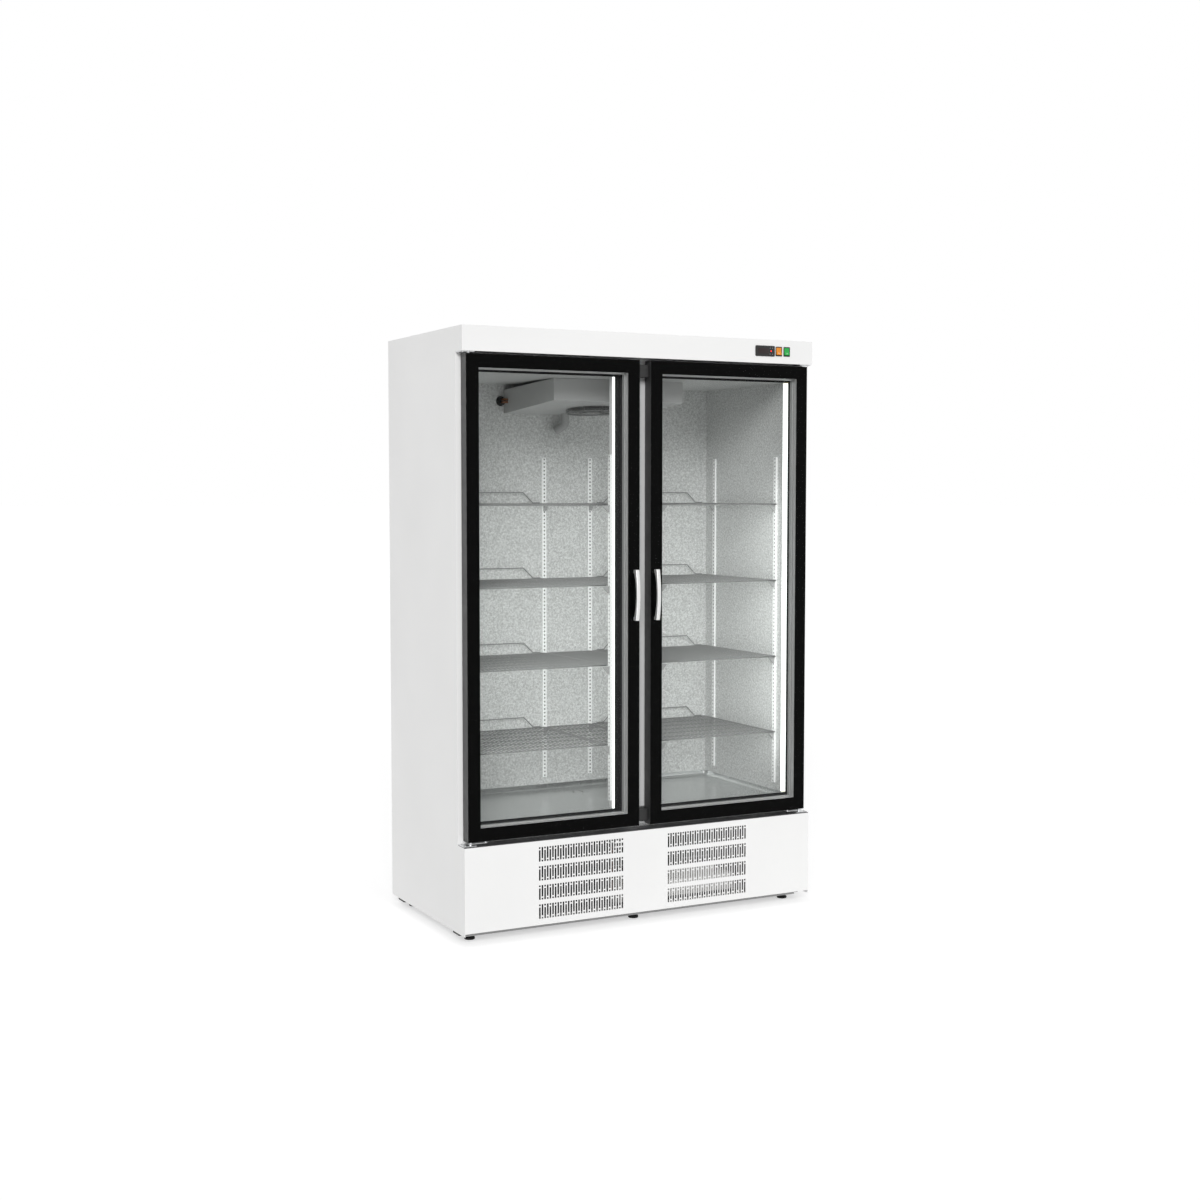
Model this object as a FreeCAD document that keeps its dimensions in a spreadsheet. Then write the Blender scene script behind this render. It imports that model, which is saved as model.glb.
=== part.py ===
"""Two-door refrigerated display cabinet, as a parametric FreeCAD document.

Frame: +Z up, +X to the right, the doors face -Y. The origin is on the floor, under the
centre of the whole object's box. Millimetres. "Depth" runs back from the fascia's face.
"""
import FreeCAD, Part
import math
import os
import re
import Sketcher

V = FreeCAD.Vector

SIZES = {
    # outer cabinet
    "cabinet_width": 1380,
    "cabinet_depth": 694,
    "cabinet_top": 2068,
    "handle_reach": 23,
    "skin": 1.2,
    "liner_skin": 1,
    "side_bottom": 32,
    "panel_bottom": 42,
    "panel_top": 333,
    "fascia_bottom": 1984,
    "face_depth": 59,
    "fold_length": 20,
    # cold room
    "wall_side": 71,
    "wall_rear": 67,
    "floor_level": 387,
    "threshold_top": 407,
    "ceiling_level": 1920,
    "cove_radius": 15,
    "breaker_thickness": 2,
    "breaker_outer": 30,
    "mullion_half": 98,
    "mullion_front_half": 93,
    "mullion_notch_depth": 10,
    "mullion_depth": 31,
    "jamb_led_width": 10,
    "jamb_led_depth": 22,
    # doors
    "door_gap_half": 22,
    "door_edge_gap": 16,
    "door_bottom": 349,
    "door_top": 1977,
    "door_front": 4,
    "door_rear": 50,
    "pane": 4,
    "pane_gap": 16,
    "glass_radius": 4,
    "border": 46,
    "spacer_step": 4,
    "spacer_width": 10,
    "frame_width": 31,
    "gasket_outer": 30,
    "gasket_width": 20,
    "gasket_clear": 0.3,
    "bush_width": 28,
    "bush_height": 14,
    "pin_side": 30,
    "pin_depth": 20,
    "pin_radius": 5,
    "pin_clear": 0.05,
    "pin_end_gap": 2,
    "hinge_plate_width": 46,
    "hinge_plate_depth": 49,
    "hinge_plate_thick": 3,
    # handles
    "handle_side": 41,
    "handle_width": 14,
    "handle_bottom": 1074,
    "handle_length": 177,
    "handle_end_reach": 18,
    "handle_grip_thick": 10,
    "handle_foot": 12,
    # gap blocks
    "gap_block_half": 19,
    "gap_block_depth": 38,
    "gap_block_height": 42,
    # sill
    "sill_thick": 2,
    # shelf standards
    "standard_width": 17,
    "standard_deep": 6,
    "standard_wall": 1.2,
    "standard_bottom": 434,
    "standard_slots": 86,
    "standard_pitch": 14.15,
    "slot_wide": 5,
    "slot_tall": 5.5,
    "standard_back_side": 97,
    "standard_front_depth": 124,
    "standard_rear_depth": 559,
    # shelves
    "shelf_top_level": 1479,
    "shelf_pitch": 283,
    "shelf_levels": 4,
    "shelf_inner_side": 100,
    "shelf_outer_side": 611,
    "shelf_centre_half": 94,
    "shelf_front_depth": 104,
    "shelf_rear_depth": 614,
    "shelf_wire": 3.6,
    "shelf_rim": 5,
    "shelf_wires": 30,
    "shelf_wires_centre": 11,
    "shelf_bars": 6,
    "stop_height": 38,
    "stop_top_half": 167,
    "stop_foot": 30,
    "clip_reach": 22,
    "clip_drop": 24,
    "clip_wide": 10,
    # evaporator unit under the ceiling
    "evap_half": 260,
    "evap_front_depth": 199,
    "evap_front_drop": 78,
    "evap_rear_drop": 107,
    "evap_rear_gap": 19,
    "evap_wall": 1.5,
    "evap_fan_depth": 414,
    "evap_fan_radius": 88,
    "evap_ring": 96,
    "guard_wire": 1.5,
    "guard_bar": 2.4,
    "guard_drop": 16,
    "guard_plate": 36,
    "guard_rings": 5,
    "guard_spokes": 8,
    "evap_coil_half": 230,
    "evap_coil_fins": 24,
    "evap_coil_deep": 88,
    "evap_coil_tall": 66,
    "coil_tube_radius": 4.5,
    "motor_radius": 34,
    "shaft_radius": 4,
    "hub_radius": 26,
    "fan_blades": 5,
    # drains
    "drain_pipe_radius": 16,
    "drain_pipe_side": -26,
    "drain_pipe_depth": 590,
    "floor_drain_radius": 20.5,
    "floor_drain_side": -11,
    "floor_drain_depth": 512,
    # controls
    "control_level": 2027,
    "controller_side": 486,
    "controller_width": 82,
    "controller_height": 38,
    "light_switch_side": 544.5,
    "power_switch_side": 578.5,
    "switch_width": 27,
    "switch_height": 34,
    "bezel_thick": 2,
    "rocker_half_width": 10.5,
    "rocker_half_height": 13,
    "rocker_clear": 0.6,
    "rocker_pivot_depth": 1.5,
    "rocker_tilt": 8,
    "rocker_rise": 3,
    "pivot_radius": 1.2,
    "pivot_reach": 0.3,
    # lower grilles
    "grille_inner": 93,
    "grille_columns": 33,
    "grille_pitch": 10,
    "grille_slot": 6.2,
    "grille_rows": 4,
    "grille_row_pitch": 66,
    "grille_row_height": 50,
    "grille_dot_gap": 4.4,
    # base and feet
    "rail_half": 670,
    "rail_bottom": 17,
    "rail_depth": 61,
    "rail_width": 60,
    "foot_side": 635,
    "foot_front_depth": 92,
    "foot_rear_depth": 615,
    "foot_radius": 18.5,
    "foot_height": 14,
    "stem_radius": 5,
    "stem_top": 62,
    # condensing unit
    "tray_half": 430,
    "tray_front_depth": 102,
    "tray_rear_depth": 600,
    "condenser_side": -250,
    "condenser_half": 158,
    "condenser_top": 300,
    "condenser_front_depth": 112,
    "condenser_thick": 56,
    "condenser_fins": 40,
    "cowl_wall": 1.5,
    "cowl_depth": 46,
    "condenser_fan_radius": 100,
    "compressor_side": 250,
    "compressor_depth": 360,
    "compressor_radius": 92,
    "compressor_height": 190,
    "shell_gap": 22,
    "shell_rounding": 34,
    "grommet_radius": 11,
    "grommet_height": 14,
    "terminal_wide": 56,
    "terminal_deep": 34,
    "terminal_tall": 70,
    "tube_radius": 5,
    "tube_rise": 22,
    "stub_side": 40,
    "pan_left": -52,
    "pan_right": 420,
    "pan_front_depth": 106,
    "pan_rear_depth": 236,
    "pan_top": 118,
    "pan_wall": 2,
    # rear of the base
    "rear_grille_depth": 678,
    "gland_side": 560,
    "gland_level": 110,
    "gland_bore": 5,
    "gland_radius": 8.9,
    "gland_collar": 13,
    "gland_length": 28,
    "vent_columns": 11,
    "vent_pitch": 90,
    "vent_long": 70,
    "vent_tall": 6,
    "vent_rows": 9,
    "vent_row_pitch": 18,
    "vent_start": 70,
}

# Words that stand for a sum of the sizes above, wherever an expression uses them.
DERIVED = {
    "front": "((handle_reach - cabinet_depth) / 2)",
    "half": "(cabinet_width / 2)",
    "inside": "(cabinet_width / 2 - wall_side)",
    "jamb": "(cabinet_width / 2 - wall_side + jamb_led_width)",
    "back_inside": "((handle_reach + cabinet_depth) / 2 - wall_rear)",
    "back": "((handle_reach + cabinet_depth) / 2)",
    "face": "((handle_reach - cabinet_depth) / 2 + face_depth)",
    "door_outer": "(cabinet_width / 2 - door_edge_gap)",
    "pin_x": "(cabinet_width / 2 - pin_side)",
    "pin_y": "((handle_reach - cabinet_depth) / 2 + pin_depth)",
}

doc = FreeCAD.newDocument("display_cabinet")
sheet = doc.addObject("Spreadsheet::Sheet", "dim")
for row, (alias, amount) in enumerate(SIZES.items(), start=1):
    sheet.set(f"A{row}", alias.replace("_", " "))
    sheet.set(f"B{row}", str(amount))
    sheet.setAlias(f"B{row}", alias)
doc.recompute()

sub_parts = {}


def bound(text):
    """The expression with derived words written out and every alias read from the sheet."""
    text = re.sub(r"[a-z_]+", lambda word: DERIVED.get(word[0], word[0]), str(text))
    return re.sub(r"[a-z_]+", lambda word: "dim." + word[0] if word[0] in SIZES else word[0], text)


def num(text):
    """The present value of an expression."""
    return float(sheet.evalExpression(bound(text)))


def count(alias):
    """A size that is a whole number."""
    return int(round(num(alias)))


def keep(name, made):
    """Name an object as a sub-part that is written out."""
    made.Label = name
    sub_parts[name] = made
    return made


def mirrored(text, side):
    """An x expression on the right (side 1) or the left (side -1) of the centre plane."""
    return f"{side} * ({text})"


def limits(low, high, side):
    """Two x limits mirrored to a side and put in rising order."""
    pair = (mirrored(low, side), mirrored(high, side))
    return pair if side > 0 else pair[::-1]


def block(name, x, y, z):
    """A Part::Box between two expression limits on each axis."""
    made = doc.addObject("Part::Box", name)
    for axis, length, (low, high) in zip("xyz", ("Length", "Width", "Height"), (x, y, z)):
        made.setExpression("Placement.Base." + axis, bound(low))
        made.setExpression(length, bound(f"({high}) - ({low})"))
    return made


TURNS = {
    "x": FreeCAD.Rotation(V(0, 1, 0), 90),
    "y": FreeCAD.Rotation(V(1, 0, 0), -90),
    "z": FreeCAD.Rotation(),
}


def rod(name, radius, start, length, axis="z"):
    """A Part::Cylinder from a start point along an axis."""
    made = doc.addObject("Part::Cylinder", name)
    made.Placement = FreeCAD.Placement(V(), TURNS[axis])
    for word, text in zip("xyz", start):
        made.setExpression("Placement.Base." + word, bound(text))
    made.setExpression("Radius", bound(radius))
    made.setExpression("Height", bound(length))
    return made


def cut(name, base, tool):
    made = doc.addObject("Part::Cut", name)
    made.Base = base
    made.Tool = tool
    return made


def fuse(name, *pieces):
    made = doc.addObject("Part::MultiFuse", name)
    made.Shapes = list(pieces)
    made.Refine = True
    return made


def gather(name, *pieces):
    """Separate solids under one name."""
    made = doc.addObject("Part::Compound", name)
    made.Links = list(pieces)
    return made


def shaped(name, shape):
    """A feature whose shape comes from code that reads the sheet."""
    made = doc.addObject("Part::Feature", name)
    made.Shape = shape
    return made


def prism(name, plane, span, *outlines):
    """A PartDesign body: closed outlines of expression points, padded across a span.

    The plane is XY, XZ or YZ, and the span is the pair of limits along its normal axis.
    """
    low, high = span
    body = doc.addObject("PartDesign::Body", name)
    sketch = body.newObject("Sketcher::SketchObject", name + "_outline")
    support = next(f for f in body.Origin.OriginFeatures if f.Role == plane + "_Plane")
    sketch.AttachmentSupport = [(support, "")]
    sketch.MapMode = "FlatFace"
    offset = f"-({high})" if plane == "XZ" else low
    sketch.setExpression("AttachmentOffset.Base.z", bound(offset))
    for outline in outlines:
        draw_outline(sketch, outline)
    pad = body.newObject("PartDesign::Pad", name + "_pad")
    pad.Profile = sketch
    pad.setExpression("Length", bound(f"({high}) - ({low})"))
    sketch.Visibility = False
    return body


def draw_outline(sketch, outline):
    """Lines between the points, each point held by two dimensions from the origin."""
    first = sketch.GeometryCount
    total = len(outline)
    points = [V(num(u), num(v), 0) for u, v in outline]
    for index in range(total):
        line = Part.LineSegment(points[index], points[(index + 1) % total])
        sketch.addGeometry(line, False)
    for index, place in enumerate(outline):
        following = first + (index + 1) % total
        joined = Sketcher.Constraint("Coincident", first + index, 2, following, 1)
        sketch.addConstraint(joined)
        for kind, text in zip(("DistanceX", "DistanceY"), place):
            held = Sketcher.Constraint(kind, -1, 1, first + index, 1, num(text))
            number = sketch.addConstraint(held)
            sketch.setExpression(f"Constraints[{number}]", bound(text))


def rounded(name, base, radius, axis):
    """The straight edges of a block that run along one axis, rounded."""
    doc.recompute()
    edges = []
    for number, edge in enumerate(base.Shape.Edges, start=1):
        way = edge.tangentAt(edge.FirstParameter)
        if abs(way.dot(axis)) > 0.999:
            edges.append((number, num(radius), num(radius)))
    made = doc.addObject("Part::Fillet", name)
    made.Base = base
    made.Edges = edges
    return made


# ---------------------------------------------------------------- outer shell

def side_panel(label, side):
    """Side skin, notched where the doors sit, with its folded face beside the opening."""
    skin = prism(
        f"{label}_skin", "YZ", limits("half - skin", "half", side),
        [("front", "side_bottom"), ("back", "side_bottom"), ("back", "cabinet_top"),
         ("front", "cabinet_top"), ("front", "fascia_bottom"), ("face", "fascia_bottom"),
         ("face", "panel_top"), ("front", "panel_top")],
    )
    flange = block(
        f"{label}_flange", limits("jamb", "half - skin", side), ("face", "face + skin"),
        ("panel_top", "cabinet_top - skin"),
    )
    keep(label, fuse(f"{label}_sheet", skin, flange))


def top_panel():
    """Top sheet, folded down behind the fascia as the header over the opening."""
    sheet_top = block(
        "top_sheet", ("skin - half", "half - skin"), ("front + skin", "back - skin"),
        ("cabinet_top - skin", "cabinet_top"),
    )
    header = block(
        "header_fold", ("-jamb", "jamb"), ("face", "face + skin"),
        ("ceiling_level", "cabinet_top - skin"),
    )
    keep("top_panel", fuse("top_panel_sheet", sheet_top, header))


def fascia_panel():
    """Folded fascia with the cut-outs for the controller and the two switches."""
    shell = prism(
        "fascia_fold", "YZ", ("skin - half", "half - skin"),
        [("front", "fascia_bottom"), ("face - 1", "fascia_bottom"),
         ("face - 1", "fascia_bottom + skin"), ("front + skin", "fascia_bottom + skin"),
         ("front + skin", "cabinet_top - 2 * skin"),
         ("front + fold_length", "cabinet_top - 2 * skin"),
         ("front + fold_length", "cabinet_top - skin"), ("front + skin", "cabinet_top - skin"),
         ("front + skin", "cabinet_top"), ("front", "cabinet_top")],
    )
    openings = [
        ("controller_side", "controller_width / 2 - 4", "controller_height / 2 - 4"),
        ("light_switch_side", "switch_width / 2 - 2", "switch_height / 2 - 2"),
        ("power_switch_side", "switch_width / 2 - 2", "switch_height / 2 - 2"),
    ]
    tools = [
        block(f"fascia_cutout_{number}", (f"{centre} - ({wide})", f"{centre} + {wide}"),
              ("front - 1", "front + skin + 1"),
              (f"control_level - ({tall})", f"control_level + {tall}"))
        for number, (centre, wide, tall) in enumerate(openings, start=1)
    ]
    keep("fascia_panel", cut("fascia_cut", shell, gather("fascia_cutouts", *tools)))


def grille_boxes(name, side):
    """Slots and square dots of one grille: their order flips from column to column."""
    pitch = num("grille_pitch")
    wide = num("grille_slot")
    tall = num("grille_row_height")
    gap = num("grille_dot_gap")
    long_slot = tall - wide - gap
    margin = (num("panel_top - panel_bottom") - tall
              - num("grille_row_pitch") * (count("grille_rows") - 1)) / 2
    depth = num("front") - 1
    through = num("skin") + 2
    solids = []
    for column in range(count("grille_columns")):
        x = side * (num("grille_inner") + pitch * column) - wide / 2
        dot_on_top = column % 2 == 0
        for row in range(count("grille_rows")):
            low = num("panel_bottom") + margin + num("grille_row_pitch") * row
            slot_low = low if dot_on_top else low + wide + gap
            dot_low = low + tall - wide if dot_on_top else low
            solids.append(Part.makeBox(wide, through, long_slot, V(x, depth, slot_low)))
            solids.append(Part.makeBox(wide, through, wide, V(x, depth, dot_low)))
    return shaped(name, Part.makeCompound(solids))


def lower_front_panel():
    """Folded panel in front of the machine room, with an air grille under each door."""
    shell = prism(
        "lower_fold", "YZ", ("skin - half", "half - skin"),
        [("front", "panel_bottom"), ("front + fold_length", "panel_bottom"),
         ("front + fold_length", "panel_bottom + skin"), ("front + skin", "panel_bottom + skin"),
         ("front + skin", "panel_top - skin"), ("face - 1", "panel_top - skin"),
         ("face - 1", "panel_top"), ("front", "panel_top")],
    )
    left = grille_boxes("grille_left", -1)
    right = grille_boxes("grille_right", 1)
    once = cut("lower_left_cut", shell, left)
    keep("lower_front_panel", cut("lower_right_cut", once, right))


def outer_shell():
    side_panel("side_panel_left", -1)
    side_panel("side_panel_right", 1)
    top_panel()
    fascia_panel()
    lower_front_panel()
    keep("back_panel", block(
        "back_sheet", ("skin - half", "half - skin"), ("back - skin", "back"),
        ("panel_top - 2", "cabinet_top - skin"),
    ))
    keep("door_sill", block(
        "sill_strip", ("skin - half", "half - skin"), ("front", "face"),
        ("panel_top", "panel_top + sill_thick"),
    ))


# ---------------------------------------------------------------- cold room

def led_outline(kind, side):
    """Right-angled section of a light strip: its slanted face looks into the room."""
    if kind == "jamb":
        near, far = "jamb", "inside"
        start, deep = "face + skin + 0.2", "face + jamb_led_depth"
    else:
        near, far = "mullion_front_half", "mullion_half"
        start, deep = "face + 0.2", "face + mullion_notch_depth"
    return [(mirrored(near, side), start), (mirrored(near, side), deep),
            (mirrored(far, side), deep)]


def led_prism(name, kind, side):
    outline = led_outline(kind, side)
    return prism(name, "XY", ("threshold_top + 1", "ceiling_level - 1"), outline)


def foam_insulation():
    """Foam between the skins and the liner, open at the front."""
    outer = block(
        "foam_outer", ("skin - half", "half - skin"), ("face + skin", "back - skin"),
        ("panel_top", "cabinet_top - skin"),
    )
    room = block(
        "foam_room", ("-inside - liner_skin", "inside + liner_skin"),
        ("face + skin - 1", "back_inside + liner_skin"),
        ("floor_level - liner_skin", "ceiling_level + liner_skin"),
    )
    corners = [
        block(f"foam_corner_{number}", limits("inside", "jamb", side),
              ("face + skin - 1", "face + jamb_led_depth"),
              ("floor_level - liner_skin", "ceiling_level + liner_skin"))
        for number, side in enumerate((-1, 1), start=1)
    ]
    drain = rod(
        "foam_drain", "floor_drain_radius - 3",
        ("floor_drain_side", "front + floor_drain_depth", "panel_top - 1"),
        "floor_level - panel_top + 2",
    )
    keep("foam_insulation", cut("foam_body", outer, gather("foam_hollows", room, drain, *corners)))


def liner():
    sides = [
        block(f"liner_side_{number}", limits("inside", "inside + liner_skin", side),
              ("face + jamb_led_depth", "back_inside"), ("floor_level", "ceiling_level"))
        for number, side in enumerate((-1, 1), start=1)
    ]
    keep("liner_sides", gather("liner_side_pair", *sides))
    keep("liner_back", block(
        "liner_back_sheet", ("-inside - liner_skin", "inside + liner_skin"),
        ("back_inside", "back_inside + liner_skin"), ("floor_level", "ceiling_level"),
    ))
    keep("liner_ceiling", block(
        "liner_ceiling_sheet", ("-inside - liner_skin", "inside + liner_skin"),
        ("face + skin", "back_inside + liner_skin"),
        ("ceiling_level", "ceiling_level + liner_skin"),
    ))


def floor_pan():
    """Coved floor tray whose front folds up as the threshold and down the cabinet's face."""
    outer = block(
        "pan_outer", ("-inside", "inside"), ("face", "back_inside"),
        ("floor_level - liner_skin", "threshold_top"),
    )
    hollow = block(
        "pan_hollow", ("liner_skin - inside", "inside - liner_skin"),
        ("face + skin + liner_skin", "back_inside - liner_skin"),
        ("floor_level", "threshold_top + 2 * cove_radius"),
    )
    doc.recompute()
    low = num("floor_level")
    radius = num("cove_radius")
    edges = []
    for number, edge in enumerate(hollow.Shape.Edges, start=1):
        flat = edge.BoundBox.ZMax < low + 0.01
        upright = edge.BoundBox.ZLength > radius
        if flat or upright:
            edges.append((number, radius, radius))
    coved = doc.addObject("Part::Fillet", "pan_cove")
    coved.Base = hollow
    coved.Edges = edges
    tray = cut("pan_tray", outer, coved)
    drain = rod(
        "pan_drain", "floor_drain_radius - 3",
        ("floor_drain_side", "front + floor_drain_depth", "floor_level - 5"), "10",
    )
    apron = block(
        "pan_apron", ("-jamb", "jamb"), ("face", "face + skin"),
        ("panel_top", "threshold_top"),
    )
    keep("floor_pan", fuse("pan_body", cut("pan_drilled", tray, drain), apron))


def breaker_frames():
    """Plastic strips round each opening, where the door gaskets land."""
    rings = []
    for name, side in (("left", -1), ("right", 1)):
        outer = block(
            f"breaker_outer_{name}",
            limits("door_gap_half + breaker_outer", "door_outer - breaker_outer", side),
            ("face - breaker_thickness", "face"),
            ("door_bottom + breaker_outer", "door_top - breaker_outer"),
        )
        inner = block(
            f"breaker_inner_{name}", limits("mullion_front_half", "jamb", side),
            ("face - breaker_thickness - 1", "face + 1"), ("threshold_top", "ceiling_level"),
        )
        rings.append(cut(f"breaker_{name}", outer, inner))
    keep("breaker_frames", gather("breaker_pair", *rings))


def mullion():
    """Centre post, notched at its corners for the two light strips."""
    near, far = "mullion_front_half", "mullion_half"
    notch, rear = "face + mullion_notch_depth", "face + mullion_depth"
    keep("mullion", prism(
        "mullion_post", "XY", ("threshold_top", "ceiling_level"),
        [("-" + near, "face"), (near, "face"), (near, notch), (far, notch), (far, rear),
         ("-" + far, rear), ("-" + far, notch), ("-" + near, notch)],
    ))
    blocks = [
        block(f"gap_block_{name}", ("-gap_block_half", "gap_block_half"),
              ("face - gap_block_depth", "face"), span)
        for name, span in (
            ("top", ("ceiling_level", "ceiling_level + gap_block_height")),
            ("bottom", ("threshold_top - 4 - gap_block_height", "threshold_top - 4")),
        )
    ]
    keep("gap_blocks", gather("gap_block_pair", *blocks))


def light_strips():
    strips = [
        led_prism(f"led_{kind}_{name}", kind, side)
        for kind in ("jamb", "mullion")
        for name, side in (("left", -1), ("right", 1))
    ]
    keep("led_strips", gather("led_group", *strips))


def slotted_rail():
    """One shelf standard: a slotted channel, its face in the XZ plane."""
    wide, deep, wall = (num(f"standard_{word}") for word in ("width", "deep", "wall"))
    pitch = num("standard_pitch")
    slots = count("standard_slots")
    height = pitch * slots
    channel = Part.makeBox(wide, deep, height, V(-wide / 2, 0, 0)).cut(
        Part.makeBox(wide - 2 * wall, deep, height, V(wall - wide / 2, wall, 0)))
    slot_wide, slot_tall = num("slot_wide"), num("slot_tall")
    holes = [
        Part.makeBox(slot_wide, 3 * wall, slot_tall,
                     V(-slot_wide / 2, -wall, pitch * index + (pitch - slot_tall) / 2))
        for index in range(slots)
    ]
    return channel.cut(Part.makeCompound(holes))


def standard_places():
    """Where each standard stands: its face centre, and the turn that faces it inwards."""
    deep = num("standard_deep")
    half_wide = num("standard_width") / 2
    level = num("standard_bottom")
    places = []
    for side in (-1, 1):
        back = V(side * num("standard_back_side"), num("back_inside") - deep, level)
        places.append((back, 0))
        post = V(side * (num("mullion_half") + deep),
                 num("face + mullion_depth") - half_wide - 1, level)
        places.append((post, 90 * side))
        for depth in ("standard_front_depth", "standard_rear_depth"):
            wall = V(side * (num("inside") - deep), num("front + " + depth), level)
            places.append((wall, -90 * side))
    return places


def shelf_standards():
    rail = slotted_rail()
    rails = []
    for place, turn in standard_places():
        copy = rail.copy()
        copy.Placement = FreeCAD.Placement(place, FreeCAD.Rotation(V(0, 0, 1), turn))
        rails.append(copy)
    keep("shelf_standards", shaped("standard_group", Part.makeCompound(rails)))


def wire_shelf(x_low, x_high, wires, with_stop):
    """A welded shelf: front-to-back wires over cross bars, a rim and a raised rear stop."""
    wire, rim = num("shelf_wire"), num("shelf_rim")
    y_low, y_high = num("front + shelf_front_depth"), num("front + shelf_rear_depth")
    wide, deep = x_high - x_low, y_high - y_low
    pieces = [
        Part.makeBox(wide, rim, rim, V(x_low, y_low, -rim)),
        Part.makeBox(wide, rim, rim, V(x_low, y_high - rim, -rim)),
        Part.makeBox(rim, deep, rim, V(x_low, y_low, -rim)),
        Part.makeBox(rim, deep, rim, V(x_high - rim, y_low, -rim)),
    ]
    pitch = (wide - rim) / (wires + 1)
    for index in range(1, wires + 1):
        x = x_low + rim / 2 + pitch * index - wire / 2
        pieces.append(Part.makeBox(wire, deep - 1, wire, V(x, y_low + 0.5, -wire + 0.4)))
    bars = count("shelf_bars")
    for index in range(1, bars):
        y = y_low + (deep - wire) * index / bars
        pieces.append(Part.makeBox(wide - 1, wire, wire, V(x_low + 0.5, y, -2 * wire + 0.9)))
    if with_stop:
        pieces.append(rear_stop((x_low + x_high) / 2, y_high - rim, wire))
    return pieces[0].multiFuse(pieces[1:]).removeSplitter()


def rear_stop(middle, depth, wire):
    """The bent wire along the rear edge that keeps goods off the back wall."""
    high, top, foot = num("stop_height"), num("stop_top_half"), num("stop_foot")
    mitre = wire * math.tan(math.radians(22.5))
    low_line = [(-top - high - foot, 0), (-top - high, 0), (-top, high)]
    high_line = [(-top - high - foot, wire), (-top - high - mitre, wire),
                 (-top - mitre, high + wire)]
    inner = low_line + [(-x, z) for x, z in reversed(low_line)]
    outer = high_line + [(-x, z) for x, z in reversed(high_line)]
    corners = [V(middle + x, depth, z) for x, z in outer + inner[::-1]]
    face = Part.Face(Part.makePolygon(corners + corners[:1]))
    return face.extrude(V(0, wire, 0))


def shelves():
    """Four levels of shelf in three columns; each column's four are alike."""
    columns = (
        ("shelves_left", "-shelf_outer_side", "-shelf_inner_side", "shelf_wires", True),
        ("shelves_centre", "-shelf_centre_half", "shelf_centre_half", "shelf_wires_centre",
         False),
        ("shelves_right", "shelf_inner_side", "shelf_outer_side", "shelf_wires", True),
    )
    for label, low, high, wires, with_stop in columns:
        shelf = wire_shelf(num(low), num(high), count(wires), with_stop)
        levels = []
        for level in range(count("shelf_levels")):
            copy = shelf.copy()
            copy.translate(V(0, 0, num(f"shelf_top_level - {level} * shelf_pitch")))
            levels.append(copy)
        keep(label, shaped(label + "_group", Part.makeCompound(levels)))


def shelf_clips():
    """Hooked brackets, one in each standard under every shelf."""
    reach, drop, wide = num("clip_reach"), num("clip_drop"), num("clip_wide")
    seat = num("shelf_rim") + 0.2
    outline = [V(-wide / 2, 0, -seat), V(-wide / 2, -reach, -seat),
               V(-wide / 2, -reach, -seat - 4), V(-wide / 2, -4, -seat - drop),
               V(-wide / 2, 0, -seat - drop)]
    clip = Part.Face(Part.makePolygon(outline + outline[:1])).extrude(V(wide, 0, 0))
    clips = []
    for level in range(count("shelf_levels")):
        rise = num(f"shelf_top_level - {level} * shelf_pitch - standard_bottom")
        for place, turn in standard_places():
            copy = clip.copy()
            spot = place + V(0, 0, rise)
            copy.Placement = FreeCAD.Placement(spot, FreeCAD.Rotation(V(0, 0, 1), turn))
            clips.append(copy)
    keep("shelf_clips", shaped("clip_group", Part.makeCompound(clips)))


def cold_room():
    foam_insulation()
    liner()
    floor_pan()
    breaker_frames()
    mullion()
    light_strips()
    shelf_standards()
    shelves()
    shelf_clips()


# ---------------------------------------------------------------- evaporator unit

def evaporator_frame():
    """The tilted frame of the unit: origin on its underside at the fan, Z square to it."""
    drop = num("evap_rear_drop - evap_front_drop")
    run = num("back_inside - front - evap_front_depth")
    tilt = math.degrees(math.atan2(drop, run))
    ahead = num("evap_fan_depth - evap_front_depth")
    low = num("ceiling_level - evap_front_drop") - drop * ahead / run
    place = V(0, num("front + evap_fan_depth"), low)
    return FreeCAD.Placement(place, FreeCAD.Rotation(V(1, 0, 0), -tilt))


def evaporator_housing(frame):
    """Sloping sheet box with a round air inlet below and its outlet along the rear top."""
    wall = num("evap_wall")
    half = num("evap_half")
    y_front, y_rear = num("front + evap_front_depth"), num("back_inside")
    z_front, z_rear = num("ceiling_level - evap_front_drop"), num("ceiling_level - evap_rear_drop")
    top_front, top_rear = num("ceiling_level") - 1, num("ceiling_level - evap_rear_gap")

    def sloped(x, inset):
        corners = [V(x, y_front + inset, z_front + inset), V(x, y_rear - inset, z_rear + inset),
                   V(x, y_rear - inset, top_rear - inset), V(x, y_front + inset, top_front - inset)]
        face = Part.Face(Part.makePolygon(corners + corners[:1]))
        return face.extrude(V(-2 * x, 0, 0))

    shell = sloped(-half, 0).cut(sloped(wall - half, wall))
    inlet = Part.makeCylinder(num("evap_ring") - 4, 20, V(0, 0, -10))
    inlet.Placement = frame
    outlet = Part.makeBox(2 * half - 60, 40, 30, V(30 - half, y_rear - 60, top_rear - 15))
    keep("evaporator_housing", shaped("evaporator_case", shell.cut(inlet).cut(outlet)))


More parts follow.
